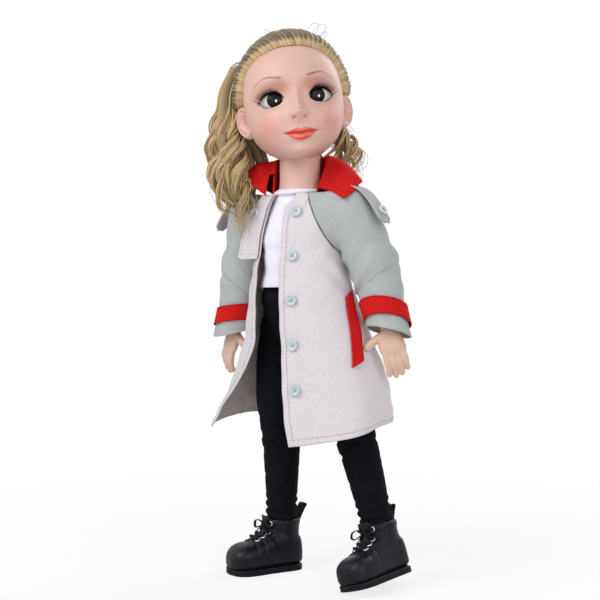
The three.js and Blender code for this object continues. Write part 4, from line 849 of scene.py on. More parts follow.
def add_ringlet(shell, chance, way, wide, turns, strands_in, thick, from_share=0.3):
    """Lock of many strands that lie side by side and wind round one line together."""
    core = path(way, 64)
    along = np.linspace(0, 1, len(core))
    start = chance.uniform(0, FULL_TURN)
    curled = ease(along, from_share, from_share + 0.25)
    swell = wide * curled * (0.6 + 0.4 * np.sin(np.pi * np.clip(0.1 + 0.85 * along, 0, 1)))
    begin = shell.count
    for _ in range(strands_in):
        skip = int(chance.uniform(0, 5))
        reach = 58 + int(chance.uniform(-6, 1))
        phase = start + chance.normal(0, 0.13)
        line = curl(core, swell * chance.uniform(0.86, 1.1), turns, phase)[skip:skip + reach]
        drift = chance.normal(0, 1.6, 3)
        freed = (1 - 0.55 * curled[skip:skip + reach]) * ease(along[:reach], 0, 0.2)
        line = line + drift * freed[:, None]
        share = np.linspace(0, 1, reach)
        radius = thick * chance.uniform(0.7, 1.2) * np.sin(np.pi * (0.14 + 0.85 * share)) ** 0.5
        shell.tube(swept(line, radius, 5, 0.6), chance.uniform(0, 40))
    return np.full(shell.count - begin, max(chance.normal(0.0, 0.22), 0.0))


def finish_hair(shell, name, roots):
    obj = shell.piece(name, HAIR, "head")
    # Mask of painted shade, with random tone per ringlet
    mask(obj, "painted_shade_and_tone", np.concatenate(roots))
    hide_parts("ponytail")
    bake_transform(obj)


HAIR_SEED = 11
WIRY_HAIRS = 70
WIRY_RADIUS = 0.15
# The ponytail's way over the shoulder, and the room that its locks have about it
FALL = np.array([(-13, 24, 25), (-30, 22, 31), (-40, 19, 18), (-45, 16, -2), (-46, 13, -15),
                 (-47, 11, -29), (-49, 9, -45), (-44, 7, -61), (-43, 6, -80)])
ROOM = np.array((1, 2, 3.5, 5.5, 8, 9.5, 9.5, 8, 3.5))[:, None] * (1.0, 0.7, 0.35)


def build_ponytail(chance):
    """Ringlets of the ponytail, over fuller locks that close the gaps between them."""
    shell, roots = Build(), []
    for _ in range(28):
        way = FALL + ROOM * chance.uniform(-1, 1, 3)
        cut = chance.uniform(0.78, 1.0)
        way[4:, 2] = way[3, 2] + (way[4:, 2] - way[3, 2]) * cut
        wide, turns = chance.uniform(4.2, 7.2), chance.uniform(3.0, 4.2)
        roots.append(add_ringlet(shell, chance, way, wide, turns, 10, 1.0, 0.36))
    begin = shell.count
    for n in range(6):
        way = FALL + 0.6 * ROOM * chance.uniform(-1, 1, 3)
        add_lock(shell, path(way[:8], 60), 5.2, n * 3.1)
    behind = np.array([(-38, 26, 0), (-34, 25, -16), (-28, 25, -27), (-26, 22, -40), (-32, 17, -54)])
    beneath = np.array([(-41, 23, -2), (-38, 23, -17), (-35, 22, -31), (-34, 19, -45), (-38, 14, -62)])
    for line, count, loose, thick, step in ((behind, 5, 2.2, 4.6, 2.3), (beneath, 6, 2.0, 4.8, 1.7)):
        for n in range(count):
            add_lock(shell, path(line + chance.normal(0, loose, 3), 50), thick, n * step)
    # The fuller locks that lie behind and between the ringlets take painted shade
    roots.append(np.full(shell.count - begin, 0.6))
    begin = shell.count
    for n in range(9):
        way = FALL + ROOM * chance.uniform(-0.9, 0.9, 3)
        core = path(way[:8], 60)
        wave = curl(core, 3.2 * ease(np.linspace(0, 1, 60), 0.4, 0.7), 3.0, chance.uniform(0, FULL_TURN))
        add_lock(shell, wave, 4.0, n * 4.3)
    roots.append(np.full(shell.count - begin, 0.2))
    finish_hair(shell, "hair_ponytail", roots)


def build_loose_curls(chance):
    """Ringlets at the nape and beside the neck, single wiry hairs, and the knot at the tie."""
    shell, roots = Build(), []
    nape = np.array([TIE, (-4, 46, -12), (12, 43, -32), (20, 39, -50), (15, 38, -64)])
    for _ in range(4):
        way = nape + chance.normal(0, 2, 3)
        roots.append(add_ringlet(shell, chance, way, 4.5, chance.uniform(1.2, 2), 9, 0.9))
    beside = np.array([TIE, (6, 45, -6), (20, 37, -16), (32, 27, -24), (37, 21, -36), (31, 18, -52)])
    loose = np.array((0.2, 0.6, 1, 1, 1, 1))[:, None]
    for _ in range(14):
        way = beside + loose * chance.normal(0, 2.4, 3)
        way[3:] += (chance.uniform(-8, 3), 0, chance.uniform(-3, 6))
        wide, turns = chance.uniform(3.5, 5.5), chance.uniform(2, 3.2)
        roots.append(add_ringlet(shell, chance, way, wide, turns, 12, 0.72))
    begin = shell.count
    for n in range(WIRY_HAIRS):
        side = n % 2
        way = FALL if side else beside
        way = way + chance.normal(0, 3.6, way.shape) * np.linspace(0.1, 1, len(way))[:, None]
        core = path(way, 60)
        wide = chance.uniform(3, 9 if side else 7) * ease(np.linspace(0, 1, 60), 0.1, 0.6)
        line = curl(core, wide, chance.uniform(1.2, 3.2), chance.uniform(0, FULL_TURN))
        shell.tube(swept(line, WIRY_RADIUS, 4), n * 0.13)
    for n, (x, z, size) in enumerate([(17, 41, 6.5), (22, 37, 5), (20, 39, 7.5), (-10, 44, 3)]):
        around = np.linspace(0.4, 5.6, 26)
        base = skull(np.array((x, 4, z)), np.array(HAIR_DEPTH + 1.0))
        out = unit(base)
        loop = base + np.outer(size * 0.7 * (1 - np.cos(around)), out)
        loop[:, 0] += size * 0.55 * np.sin(around)
        loop[:, 1] += np.linspace(-2, 3, 26)
        shell.tube(swept(loop, WIRY_RADIUS, 4), n * 0.3)
    knot = path([TIE + (-7, 2, 4), TIE + (-1, 6, 5), TIE + (6, 4, 1), TIE + (6, 3, -5), TIE + (-1, 6, -6),
                 TIE + (-8, 2, -3)], 40)
    add_lock(shell, knot, 4.4, 77)
    roots.append(np.full(shell.count - begin, 0.1))
    finish_hair(shell, "hair_loose_curls", roots)


def build_long_hair():
    chance = np.random.default_rng(HAIR_SEED)
    build_ponytail(chance)
    build_loose_curls(chance)


def build_lashes():
    """Upper and lower lashes, set along the lids and swept outwards."""
    shell = Build()
    for side in SIDES.values():
        for n, across in enumerate(np.linspace(-0.9, 1.0, UPPER_LASHES)):
            place = lid_edge(side, across, True)
            lean = 0.1 + 0.8 * max(across, 0) + 0.15 * across
            long = 2.2 + 2.4 * ease(across, -0.7, 0.7) + 0.5 * (n % 2)
            tip = place + long * np.array((side * lean, -0.7, 0.75 - 0.3 * max(across, 0)))
            middle = (place + tip) / 2 + (0, -0.35, -0.3)
            line = path([place + (0, 0.6, 0), place, middle, tip], 10)
            shell.tube(swept(line, np.linspace(0.42, 0.06, 10), 5), n * 0.1)
        for n, across in enumerate(np.linspace(-0.5, 0.95, LOWER_LASHES)):
            place = lid_edge(side, across, False)
            tip = place + 1.4 * np.array((side * (0.15 + 0.6 * across), -0.6, -0.65))
            line = path([place + (0, 0.4, 0), place, tip], 7)
            shell.tube(swept(line, np.linspace(0.16, 0.03, 7), 4), n * 0.1)
    obj = shell.piece("eye_lashes", LASH, "head")
    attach(obj, "head")


def lid_edge(side, across, upper):
    """Place on the rim of a lid, at a share of the eye's half-width from its middle."""
    x = np.array([side * (EYE_OPENING[0] + EYE_HALF * across)])
    width = math.sqrt(max(1 - min(abs(across), 1) ** 2.4, 1e-4))
    tall = (EYE_UP if upper else EYE_DOWN) * width**1.1
    up = tall * math.sqrt(max(1 - 0.15 * across**2, 0) / 0.85)
    z = np.array([EYE_OPENING[1] - 0.3 * across + (up if upper else -up)])
    front = eye_front(side, x, z)[0]
    return np.array((x[0], -(front + 1.0), z[0]))


def build_ears():
    for name, side in SIDES.items():
        cols, rows = 64, 29
        a, r = np.meshgrid(circle(cols), np.linspace(0, 1, rows + 1)[1:])
        y = 7.0 * r * np.cos(a)
        z = 11.6 * r * np.sin(a) * (1 - 0.1 * np.cos(a))
        rim = 1.5 * ridge(r - 0.84, 0.13) * (1 - 0.7 * bump(y + 6, z + 1.5, 3.2, 4.5))
        fold = 0.9 * ridge(r - 0.5, 0.14) * ease(y, -3, 2)
        bowl = 2.9 * bump(y + 2.4, z + 0.2, 2.7, 4.6)
        tragus = 1.3 * bump(y + 4.4, z + 1.2, 1.5, 1.8)
        x = 3.0 * np.sqrt(np.clip(1 - r**4, 0, 1)) + rim + fold - bowl + tragus
        middle = np.array([[3.0 - 2.5, 0, 0]])
        faces = [[0, 1 + (i + 1) % cols, 1 + i] for i in range(cols)]
        faces += [[j + 1 for j in f] for f in grid_faces(rows, cols, True)]
        faces.append([1 + (rows - 1) * cols + i for i in range(cols)])
        points = np.concatenate((middle, np.stack((x, y, z), -1).reshape(-1, 3)))
        lean = np.array((turn("Z", side * -40) @ turn("X", -14)).to_3x3())
        local = points * (side, 1, 1) @ lean.T + (side * (HEAD_HALF_WIDTH - 0.6), 2.4, EAR_HEIGHT)
        shell = Build()
        shell.add(local, faces)
        obj = shell.piece("ear_" + name, FACE, "head")
        # Painted shade in the bowl and groove of the ear
        groove = 0.4 * ridge(r - 0.66, 0.1) * ease(y, -2, 2)
        hollow = np.clip(0.95 * bump(y + 2.9, z - 0.3, 2.6, 4.8) + groove, 0, 1)
        mask(obj, "hollow", 0.8 * np.concatenate(([0.9], hollow.ravel())))
        mask(obj, "blush", np.full(len(points), 0.2))
        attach(obj, "head")


# Coat

CLOTH = 1.1
# Height above the hip pin, half-width, half-depth and set-back
COAT_ROWS = np.array([
    (-75, 63, 42, 3), (-46, 58, 40.5, 7), (-19, 51, 36.5, 7), (6, 42.5, 32.5, 4), (26, 37.5, 28.5, 1),
    (39, 34.5, 26, 0), (51, 31.7, 24.5, 0), (64, 31.5, 23, 0), (76, 31.5, 20.5, 0), (83, 28.5, 18.8, 0),
    (89, 20.5, 17.6, 0)], float)
COAT_BOTTOM = -75
COAT_TOP = 89
ARMPIT_RISE = 48
# The raglan seam's place beside the neck, and how it widens downwards
RAGLAN_X = 14
RAGLAN_RISE = 92
RAGLAN_SLOPE = 0.432
SIDE_SEAM = 100
STITCH_STEPS = 160
STITCH_GAP = 0.9
STITCH_LIFT = 0.15
# Degrees in a radian, near enough for stitches
RADIAN = 57
# The camera's angle from the front, towards the doll's left
CAMERA_TURN = 36
# Degrees from the front at which a welt's middle lies
WELT_AT = {"left": 76, "right": 94}


def coat_size(rise):
    rise = np.asarray(rise, float)
    return through(COAT_ROWS[:, 0], COAT_ROWS[:, 1:], rise.ravel()).T.reshape((3,) + rise.shape)


def coat_creases(degrees, rise):
    """Soft unevenness of the hanging cloth, with drag lines below the arms."""
    soft = 0.4 * np.sin(0.15 * rise + 0.055 * degrees) * np.sin(0.047 * degrees - 0.04 * rise + 1)
    soft += 0.3 * np.sin(0.31 * rise - 0.08 * degrees + 2) * np.sin(0.09 * degrees + 0.5)
    slanted = rise + 0.55 * np.abs(degrees - 180 * (degrees > 180))
    drag = 0.7 * np.sin(0.33 * slanted) * ridge(rise - 34, 16)
    return soft * ease(88 - rise, 0, 25) + drag * ridge(np.abs(np.abs(degrees) - 95), 42)


def coat_point(degrees, rise, lift=0.0):
    """Place on the coat at an angle from the front, towards the left, and a height above the hip pin."""
    degrees, rise = np.broadcast_arrays(np.asarray(degrees, float), np.asarray(rise, float))
    a, b, swing = coat_size(rise)
    drop = np.clip(rise / COAT_BOTTOM, 0, 1) ** 2
    around = np.radians(degrees)
    thrown = 5.0 * drop * ridge((degrees + 238) % 360 - 180, 26)
    out = lift + thrown + 2.6 * drop * np.cos(6 * around) + coat_creases(degrees, rise)
    x = 0.35 * swing + (a + out) * np.sin(around)
    y = swing - (b + out) * np.cos(around)
    hem = drop * (12 * (0.5 - 0.5 * np.cos(around)) + 7 * np.sin(around) ** 2)
    return np.stack((x, y, HIP_HEIGHT + rise + hem), -1)


def coat_facing(degrees, rise):
    """Place on the coat with the directions across, up and out of it."""
    place = coat_point(degrees, rise)
    across = coat_point(degrees + 2, rise) - place
    up = coat_point(degrees, rise + 1) - place
    across /= np.linalg.norm(across)
    out = np.cross(across, up)
    out /= np.linalg.norm(out)
    if out[0] * math.sin(math.radians(degrees)) - out[1] * math.cos(math.radians(degrees)) < 0:
        out = -out
    up = np.cross(out, across)
    return place, across, up if up[2] > 0 else -up, out


def left_edge(rise):
    drop = np.clip(np.asarray(rise, float) / COAT_BOTTOM, 0, 1)
    return 3.5 + 12 * drop**2 + 20 * ease(rise, 78, COAT_TOP)


def right_edge(rise):
    rise = np.asarray(rise, float)
    return -(23 + 13 * ease(85 - rise, 0, 35) - 9 * ridge(rise + 5, 22) + 22 * ease(-rise, 14, 70))


def along_edge(edge, rises, inwards):
    """Line beside a front edge, some millimetres further round the coat."""
    return edge(rises) + inwards * RADIAN / coat_size(rises)[0]


def side_edge(degrees):
    return lambda rise: np.full(np.shape(rise), float(degrees))


def raglan_x(rise):
    return RAGLAN_X + (RAGLAN_RISE - np.asarray(rise, float)) * RAGLAN_SLOPE


def coat_grid(start, end, cols, rows):
    """Grid over a panel, from the hem to the neck or the raglan seam, between two edges given in degrees."""
    rises = np.linspace(COAT_BOTTOM, COAT_TOP, 600)
    share = np.linspace(0, 1, cols)
    degrees = start(rises)[:, None] * (1 - share) + end(rises)[:, None] * share
    x = np.abs(coat_point(degrees, rises[:, None])[..., 0])
    level = rises[:, None]
    cut = (level > ARMPIT_RISE - 0.085 * (x - 33)) & (x > raglan_x(level))
    top = rises[np.where(cut.any(0), cut.argmax(0) - 1, len(rises) - 1)]
    rise = COAT_BOTTOM + np.linspace(0, 1, rows)[:, None] * (top - COAT_BOTTOM)
    degrees = start(rise) * (1 - share) + end(rise) * share
    return degrees, rise


def thicken(obj, thickness, inside=None, offset=-1.0, rim=0):
    """Gives a sheet its thickness, and a second finish to its inner face."""
    if inside:
        obj.data.materials.append(inside)
    modify(obj, "SOLIDIFY", thickness=thickness * MM, offset=offset, material_offset=1 if inside else 0,
           material_offset_rim=rim, use_even_offset=True)


def soften(obj, width):
    """Rounds a piece's sharp edges."""
    modify(obj, "BEVEL", width=width * MM, segments=2, limit_method="ANGLE")


def seamed(rise):
    """Edge roll: the cloth turns under at the borders of a panel."""
    rows, cols = rise.shape
    i = np.minimum(np.arange(cols), np.arange(cols)[::-1])[None, :]
    j = np.minimum(np.arange(rows), np.arange(rows)[::-1])[:, None]
    return -0.45 * np.exp(-np.minimum(i, j) / 0.9)


def coat_carry(obj):
    """Bakes a piece's place into its points; used for the coat fronts and what lies on them."""
    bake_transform(obj)


def stitch_line(shell, points, outward, length=1.5, width=0.2):
    """Row of short stitches along a line, standing a little out of the cloth."""
    run = run_length(points)
    for s in np.arange(0.5, run[-1] - length, length + STITCH_GAP):
        steps = np.linspace(s, s + length, 4)
        rise = 0.12 * np.array((-1.2, 1, 1, -1.2))
        line = places_on(points, run, steps) + places_on(outward, run, steps) * rise[:, None]
        shell.tube(swept(line, width, 5), s * 0.1)


def coat_line(degrees, rise, lift):
    """Line on the coat with its outward directions."""
    points = coat_point(degrees, rise, lift)
    far = coat_point(degrees, rise, lift + 1)
    return points, far - points


def build_coat():
    panels = {
        "left": (left_edge, side_edge(SIDE_SEAM), 90, 150),
        "right": (side_edge(-SIDE_SEAM), right_edge, 80, 150),
        "back": (side_edge(SIDE_SEAM - 1), side_edge(361 - SIDE_SEAM), 140, 130),
    }
    for name, (start, end, cols, rows) in panels.items():
        degrees, rise = coat_grid(start, end, cols, rows)
        points = coat_point(degrees, rise, seamed(rise) - (0.3 if name == "back" else 0.0))
        obj = cloth("coat_back_cloth" if name == "back" else "coat_" + name, points, COAT)
        face_away(obj, from_middle)
        thicken(obj, CLOTH, LINING, rim=int(name == "back"))
        if name == "back":
            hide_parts("coat_back")
            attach(obj, "torso")
        else:
            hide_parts(f"coat_{name}_front")
            coat_carry(obj)
    threads = {"left": Build(), "right": Build(), "back": Build()}
    rises = np.linspace(COAT_BOTTOM + 3, 76, STITCH_STEPS)
    stitch_line(threads["left"], *coat_line(along_edge(left_edge, rises, 4.2), rises, STITCH_LIFT))
    rises = np.linspace(COAT_BOTTOM + 3, 44, STITCH_STEPS)
    stitch_line(threads["right"], *coat_line(along_edge(right_edge, rises, -3.4), rises, STITCH_LIFT))
    stitch_line(threads["right"], *inside_line(along_edge(right_edge, rises, -5.5), rises))
    hem = COAT_BOTTOM + 4.5
    spans = {"left": (float(left_edge(hem)) + 1, SIDE_SEAM - 1),
             "right": (1 - SIDE_SEAM, float(right_edge(hem)) - 1),
             "back": (SIDE_SEAM + 1, 359 - SIDE_SEAM)}
    for name, (low, high) in spans.items():
        span = np.linspace(low, high, STITCH_STEPS)
        stitch_line(threads[name], *coat_line(span, np.full(STITCH_STEPS, hem), STITCH_LIFT))
        if name == "right":
            stitch_line(threads[name], *inside_line(span, np.full(STITCH_STEPS, hem + 4)))
    for name, shell in threads.items():
        obj = shell.piece(f"coat_stitches_{name}", THREAD)
        if name == "back":
            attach(obj, "torso")
        else:
            coat_carry(obj)


def inside_line(degrees, rise):
    points, out = coat_line(degrees, rise, -CLOTH - STITCH_LIFT)
    return points, -out


def build_collar():
    """Stand from the coat's neck up to the fold, and the leaf that falls from it, open wide at the front."""
    cols, rows = 150, 44
    s = np.linspace(0, 1, cols)

    def ring(shares, table):
        deg, r, z = through(shares, table, s).T
        around = np.radians(deg)
        return np.stack((r * np.sin(around), -0.92 * r * np.cos(around), z), -1)

    base = ring((0, 0.5, 1), [(72, 18.6, 253.4), (180, 18.4, 253.4), (326, 19.4, 252.6)])
    fold = ring((0, 0.1, 0.2, 0.5, 0.8, 0.9, 1),
                [(72, 20, 255.2), (88, 21, 267), (104, 20.5, 274.5), (180, 19.5, 277), (258, 19, 277),
                 (280, 18.5, 274.5), (302, 18.2, 266.5)])
    edge = ring((0, 0.1, 0.2, 0.35, 0.5, 0.7, 0.8, 0.9, 1),
                [(68, 50, 247.5), (83, 49, 254), (96, 46, 260), (130, 37, 257.5), (180, 28, 254),
                 (240, 36, 256), (268, 40, 262), (292, 41.5, 267), (325, 25, 251.5)])
    t = np.linspace(0, 1, rows)
    points = []
    for b, f, e, lie in zip(base, fold, edge, ease(s, 0, 0.12)):
        away = (f - (0, 0, f[2])) / np.linalg.norm(f[:2])
        belly = 0.5 * (f + e) + 0.8 * away + (0, 0, 0.8 + 2.4 * lie)
        stand = 0.4 * b + 0.6 * f - 0.5 * away
        top = [f + (0, 0, 0.8), f + 1.6 * away + (0, 0, 0.4)]
        points.append(path([b, stand, *top, belly, e], rows))
    points = np.array(points).transpose(1, 0, 2)
    wave = 0.5 * np.sin(9 * s[None, :] * np.pi + 4 * t[:, None]) * t[:, None] ** 2
    points[..., 2] += wave
    obj = cloth("coat_collar", points, RED)
    face_away(obj, lambda c: Vector((0, 0, 1)))
    # The collar's underside takes the darker red of painted shade
    thicken(obj, 1.3, RED_PAINTED_SHADE, 0.0)
    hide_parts("collar")
    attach(obj, "torso")
    shell = Build()
    normal = unit(np.cross(np.gradient(points, axis=1), np.gradient(points, axis=0)))
    normal *= np.sign(normal[..., 2:3] + 1e-9)
    stitch_line(shell, points[-4, 3:-3] + 0.65 * normal[-4, 3:-3], normal[-4, 3:-3])
    for col in (4, -5):
        stitch_line(shell, points[22:-3, col] + 0.65 * normal[22:-3, col], normal[22:-3, col])
    obj = shell.piece("collar_stitches", RED_THREAD)
    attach(obj, "torso")


SLEEVE_COLS = 96
SLEEVE_CLOTH = 0.9


def sleeve_ring(side):
    """Closed line where a raglan sleeve is sewn to the coat, from the shoulder's top forwards."""
    rises = np.linspace(COAT_TOP, ARMPIT_RISE + 1.5, 40)
    a = coat_size(rises)[0]
    front = np.degrees(np.arcsin(np.clip(raglan_x(rises) / a, -1, 1)))
    neck = coat_point(side * np.linspace(180 - front[0], front[0], 21), np.full(21, float(COAT_TOP)), 0.2)
    fore = coat_point(side * front, rises, 0.2)
    aft = coat_point(side * (180 - front), rises, 0.2)
    loop = np.concatenate((neck[10:], fore[1:], aft[::-1][1:], neck[1:11]))
    run = run_length(loop)
    return places_on(loop, run, np.linspace(0, run[-1], SLEEVE_COLS, endpoint=False))


def arm_ring(name, radius, high, low, squeeze, out):
    """Ring round the upper arm, slanted from its outer to its inner side and moved outwards."""
    side = SIDES[name]
    angle = circle(SLEEVE_COLS)
    z = low + (high - low) * (0.5 + 0.5 * np.cos(angle))
    ring = np.stack((side * (out + radius * squeeze * np.cos(angle)), -radius * np.sin(angle), z), -1)
    return carried(ring, "arm_" + name)


def cuff_slant(name, angle, drop, raised):
    """How far a cuff's rim hangs lower towards the outside of the arm and higher towards the front."""
    turned = math.radians(CAMERA_TURN)
    right = np.cos(angle) * math.cos(turned) + np.sin(angle) * math.sin(turned)
    near = np.cos(angle) * math.sin(turned) - np.sin(angle) * math.cos(turned)
    return -SIDES[name] * drop * right + raised * near


def build_raglan(name, side):
    """Raglan shoulder with the upper sleeve, from its seam on the coat to the elbow."""
    # Radius, outer and inner height, squeeze and outward shift of the rings below the seam
    rings = [(16.6, 11.6, -25.2, 0.8, 1.4), (16.6, -8, -26.5, 1, 1.4), (16.2, -20, -30, 1, 2.0),
             (16.2, -30, -37, 1, 2.6), (16.8, -36.5, -46, 1, 2.8), (16.2, -40, -51, 1, 2.2),
             (14.0, -41.5, -52.5, 1, 1.4)]
    knots = np.array([sleeve_ring(side)] + [arm_ring(name, *ring) for ring in rings])
    rows = 100
    points = np.stack([path(knots[:, k], rows) for k in range(SLEEVE_COLS)], axis=1)
    out = unit(points - points.mean(axis=1, keepdims=True))
    angle = circle(SLEEVE_COLS)[None, :]
    t = np.linspace(0, 1, rows)[:, None]
    folds = 0.9 * np.sin(30 * t + 2.2 * np.sin(angle + 0.6)) * ease(t, 0.5, 0.85) * (1 - ease(t, 0.94, 1))
    long = ease(t, 0.12, 0.4) * (1 - ease(t, 0.9, 1))
    folds += 0.6 * np.sin(13 * t + 3 * np.sin(angle - 0.4) + 1) * long
    folds -= 1.5 * ridge(t - 0.3 - 0.1 * np.sin(angle), 0.09) * ridge(angle - 2.0, 0.8)
    rolled = -0.5 * np.exp(-t * rows / 1.2)
    points = points + out * (folds + rolled)[..., None]
    obj = cloth("sleeve_raglan_" + name, points, SLEEVE, around=True)
    thicken(obj, SLEEVE_CLOTH, LINING)
    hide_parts("raglan_" + name, "sleeve_upper_" + name)
    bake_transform(obj)


def build_cuff(name, side):
    """Lower sleeve, which hangs aslant round the forearm."""
    arm, fore = "upper_arm_" + name, "forearm_" + name
    angle = circle(SLEEVE_COLS)[None, :]
    rings = np.array([(8, 11.2, 0), (3, 13.0, 1.5), (-2, 15.0, 2.4), (-7, 15.2, 2.2), (-13, 14.2, 1.4),
                      (-19, 13.6, 0.9), (-25, 13.2, 0.6), (-32, 13.2, 0.3), (-39, 13.4, 0)])
    z = np.linspace(rings[0, 0], rings[-1, 0], 96)[:, None]
    r, moved = through(-rings[:, 0], rings[:, 1:], -z[:, 0]).T[:, :, None]
    crease = 0.9 * np.sin(0.5 * z + 1.8 * np.sin(angle + 1.0)) * ridge(z + 3, 6)
    crease = crease + 0.3 * np.sin(5 * angle + 0.3 * z) * ease(-z, 10, 16) * ease(-z, 38, 32)
    r = r + crease
    low = ease(-z, -2, 12.5)
    hang = cuff_slant(name, angle, 4.6, 4.6) * low + cuff_slant(name, angle, 2.0, -4.0) * ease(-z, 28, 39)
    elbow = 0.3 * np.cos(angle) * side * r * (1 - low)
    points = np.stack((side * moved + r * np.cos(angle), r * np.sin(angle), z + hang + elbow), -1)
    obj = cloth("sleeve_cuff_" + name, points, SLEEVE, fore, True)
    thicken(obj, SLEEVE_CLOTH, LINING)
    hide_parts("sleeve_lower_" + name)
    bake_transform(obj)


def build_strap(name, side):
    """Strap round a cuff, stitched along both its edges."""
    fore = "forearm_" + name
    angle = circle(SLEEVE_COLS)[None, :]
    z = np.linspace(-33.4, -21.4, 18)[:, None]
    r = 15.1 + 0.25 * np.sin(3 * angle + 0.5) + 0.03 * (z + 20.4)
    tilt = cuff_slant(name, angle, 4.4, 4.4)
    points = np.stack((side * 0.7 + r * np.cos(angle), r * np.sin(angle), z + tilt), -1)
    obj = cloth("sleeve_strap_" + name, points, RED, fore, True)
    thicken(obj, SLEEVE_CLOTH, RED_PAINTED_SHADE)
    soften(obj, 0.2)
    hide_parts("cuff_strap_" + name)
    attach(obj, fore)
    shell = Build()
    for row in (1, -2):
        line = np.concatenate((points[row], points[row, :1]))
        outward = line - line.mean(axis=0)
        outward = outward * (1, 1, 0) / np.linalg.norm(outward, axis=1)[:, None]
        stitch_line(shell, line, outward)
    obj = shell.piece("strap_stitches_" + name, RED_THREAD, fore)
    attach(obj, fore)


def build_sleeves():
    for name, side in SIDES.items():
        build_raglan(name, side)
        build_cuff(name, side)
        build_strap(name, side)


# Trim of the coat

SMALL_BUTTON = 3.4
FRONT_BUTTONS = 5
TOP_BUTTON_RISE = 76
BUTTON_SPREAD = 115
BUTTON_INSET = 9.5
FLAP_BOTTOM = 46
# At or below this, front buttons are baked in place like the fronts instead of riding the torso
WAIST_RISE = 0
WELT_HALF_LENGTH = 23
WELT_HALF_WIDTH = 4.3
WELT_SLANT = 0.42


def lathe(middle, across, up, out, rows, sides):
    """Rings of a turned form round a middle, from rows of radius and height."""
    angle = circle(sides)[:, None]
    return np.stack([middle + r * (np.cos(angle) * across + np.sin(angle) * up) + h * out for r, h in rows])


def add_cord(shell, points, count, radius, sides=8, flat=1.0):
    """Cord on a smooth line through a few points."""
    shell.tube(swept(path(points, count), radius, sides, flat))


def add_button(shell, threads, place, across, up, out, radius=3.7):
    """Four-hole button with a raised rim, and the thread through it."""
    rows = [(0.004, 0.0), (0.94, 0.0), (1.0, 0.25), (1.0, 1.2), (0.95, 1.65), (0.86, 1.8), (0.76, 1.7),
            (0.68, 1.25), (0.6, 1.1), (0.3, 1.1), (0.004, 1.12)]
    shell.tube(lathe(place, across, up, out, [(radius * r, h) for r, h in rows], 40))
    hole = 0.3 * radius
    well = [(0.42, 1.13), (0.42, 1.16), (0.62, 1.2), (0.7, 1.12)]
    for k in range(4):
        at = math.pi / 4 + k * math.pi / 2
        middle = place + hole * (math.cos(at) * across + math.sin(at) * up)
        shell.tube(lathe(middle, across, up, out, well, 12))
    for sign in (-1, 1):
        first, last = [place + hole * 0.7071 * (s * across + s * sign * up) for s in (-1, 1)]
        over = [first + 1.3 * out, place + 1.5 * out, last + 1.3 * out]
        add_cord(threads, [first + 0.95 * out, *over, last + 0.95 * out], 12, 0.24, 6)


def build_front_buttons():
    for n in range(FRONT_BUTTONS):
        rise = TOP_BUTTON_RISE - BUTTON_SPREAD * n / (FRONT_BUTTONS - 1)
        degrees = float(left_edge(rise)) + math.degrees(BUTTON_INSET / float(coat_size(rise)[0]))
        place, across, up, out = coat_facing(degrees, rise)
        shell, threads = Build(), Build()
        add_button(shell, threads, place + 0.35 * out, across, up, out)
        button = shell.piece(f"front_button_{n + 1}", BUTTON)
        for obj in (button, threads.piece(f"button_thread_{n + 1}", THREAD)):
            if rise > WAIST_RISE:
                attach(obj, "torso")
            else:
                coat_carry(obj)
        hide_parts(f"coat_button_{n + 1}")


def strip(name, points, finish, thickness, inside):
    """Sheet of cloth with rounded edges."""
    obj = cloth(name, points, finish)
    face_away(obj, from_middle)
    thicken(obj, thickness, inside, 0.0)
    soften(obj, 0.22)
    return obj


def build_storm_flap():
    outward = unit(np.array((-0.97, 0.24, 0)))
    facing = np.array((-outward[1], outward[0], 0))
    facing *= -np.sign(facing[1])
    rise = np.linspace(FLAP_BOTTOM, 88.5, 44)[:, None]
    share = np.linspace(0, 1, 24)[None, :]
    edge = coat_point(right_edge(rise[:, 0]) - 1, rise[:, 0])[:, None]
    width = 20.5 - 4.0 * ease(rise, FLAP_BOTTOM, 72) - 5.5 * ease(rise, 72, 88)
    corner = 1.8 * ease(share, 0.75, 1) ** 2 * (1 - ease(rise, FLAP_BOTTOM, FLAP_BOTTOM + 4))
    lift = 1.3 + 0.5 * np.sin(0.2 * rise + 2.5 * share) * share
    points = edge + (width * share)[..., None] * outward + lift[..., None] * facing
    points[..., 2] += corner
    obj = strip("storm_flap_cloth", points, COAT, CLOTH, LINING)
    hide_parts("storm_flap")
    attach(obj, "torso")
    shell, threads = Build(), Build()
    row = int(np.argmin(np.abs(rise[:, 0] - 77)))
    place = points[row, 15] + 0.75 * facing
    add_button(shell, threads, place, outward, np.array((0.0, 0.0, 1.0)), facing, SMALL_BUTTON)
    for line in (points[3:-2, 20], points[3, :21]):
        stitch_line(threads, line + 0.6 * facing, np.broadcast_to(facing, line.shape))
    for piece, slot in ((shell.piece("flap_button", BUTTON), "button"),
                        (threads.piece("flap_stitches", THREAD), "coat_cloth")):
        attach(piece, "torso")


def build_pocket_welts():
    for name, side in SIDES.items():
        rise = np.linspace(-WELT_HALF_LENGTH, WELT_HALF_LENGTH, 60)[:, None]
        share = np.linspace(-1, 1, 16)[None, :]
        level = rise + 2.2 * side * share
        half = np.degrees(WELT_HALF_WIDTH / coat_size(rise)[1])
        degrees = side * (WELT_AT[name] + WELT_SLANT * rise) + half * share
        bulge = 1.5 + 0.4 * (1 - share**2)
        points = coat_point(degrees, level, bulge)
        obj = strip("pocket_welt_cloth_" + name, points, RED, 1.2, RED_PAINTED_SHADE)
        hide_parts("pocket_welt_" + name)
        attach(obj, "torso")
        shell = Build()
        out = coat_point(degrees, level, bulge + 1) - points
        for col in (2, -3):
            stitch_line(shell, points[2:-2, col] + 0.6 * out[2:-2, col], out[2:-2, col])
        obj = shell.piece("welt_stitches_" + name, RED_THREAD)
        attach(obj, "torso")


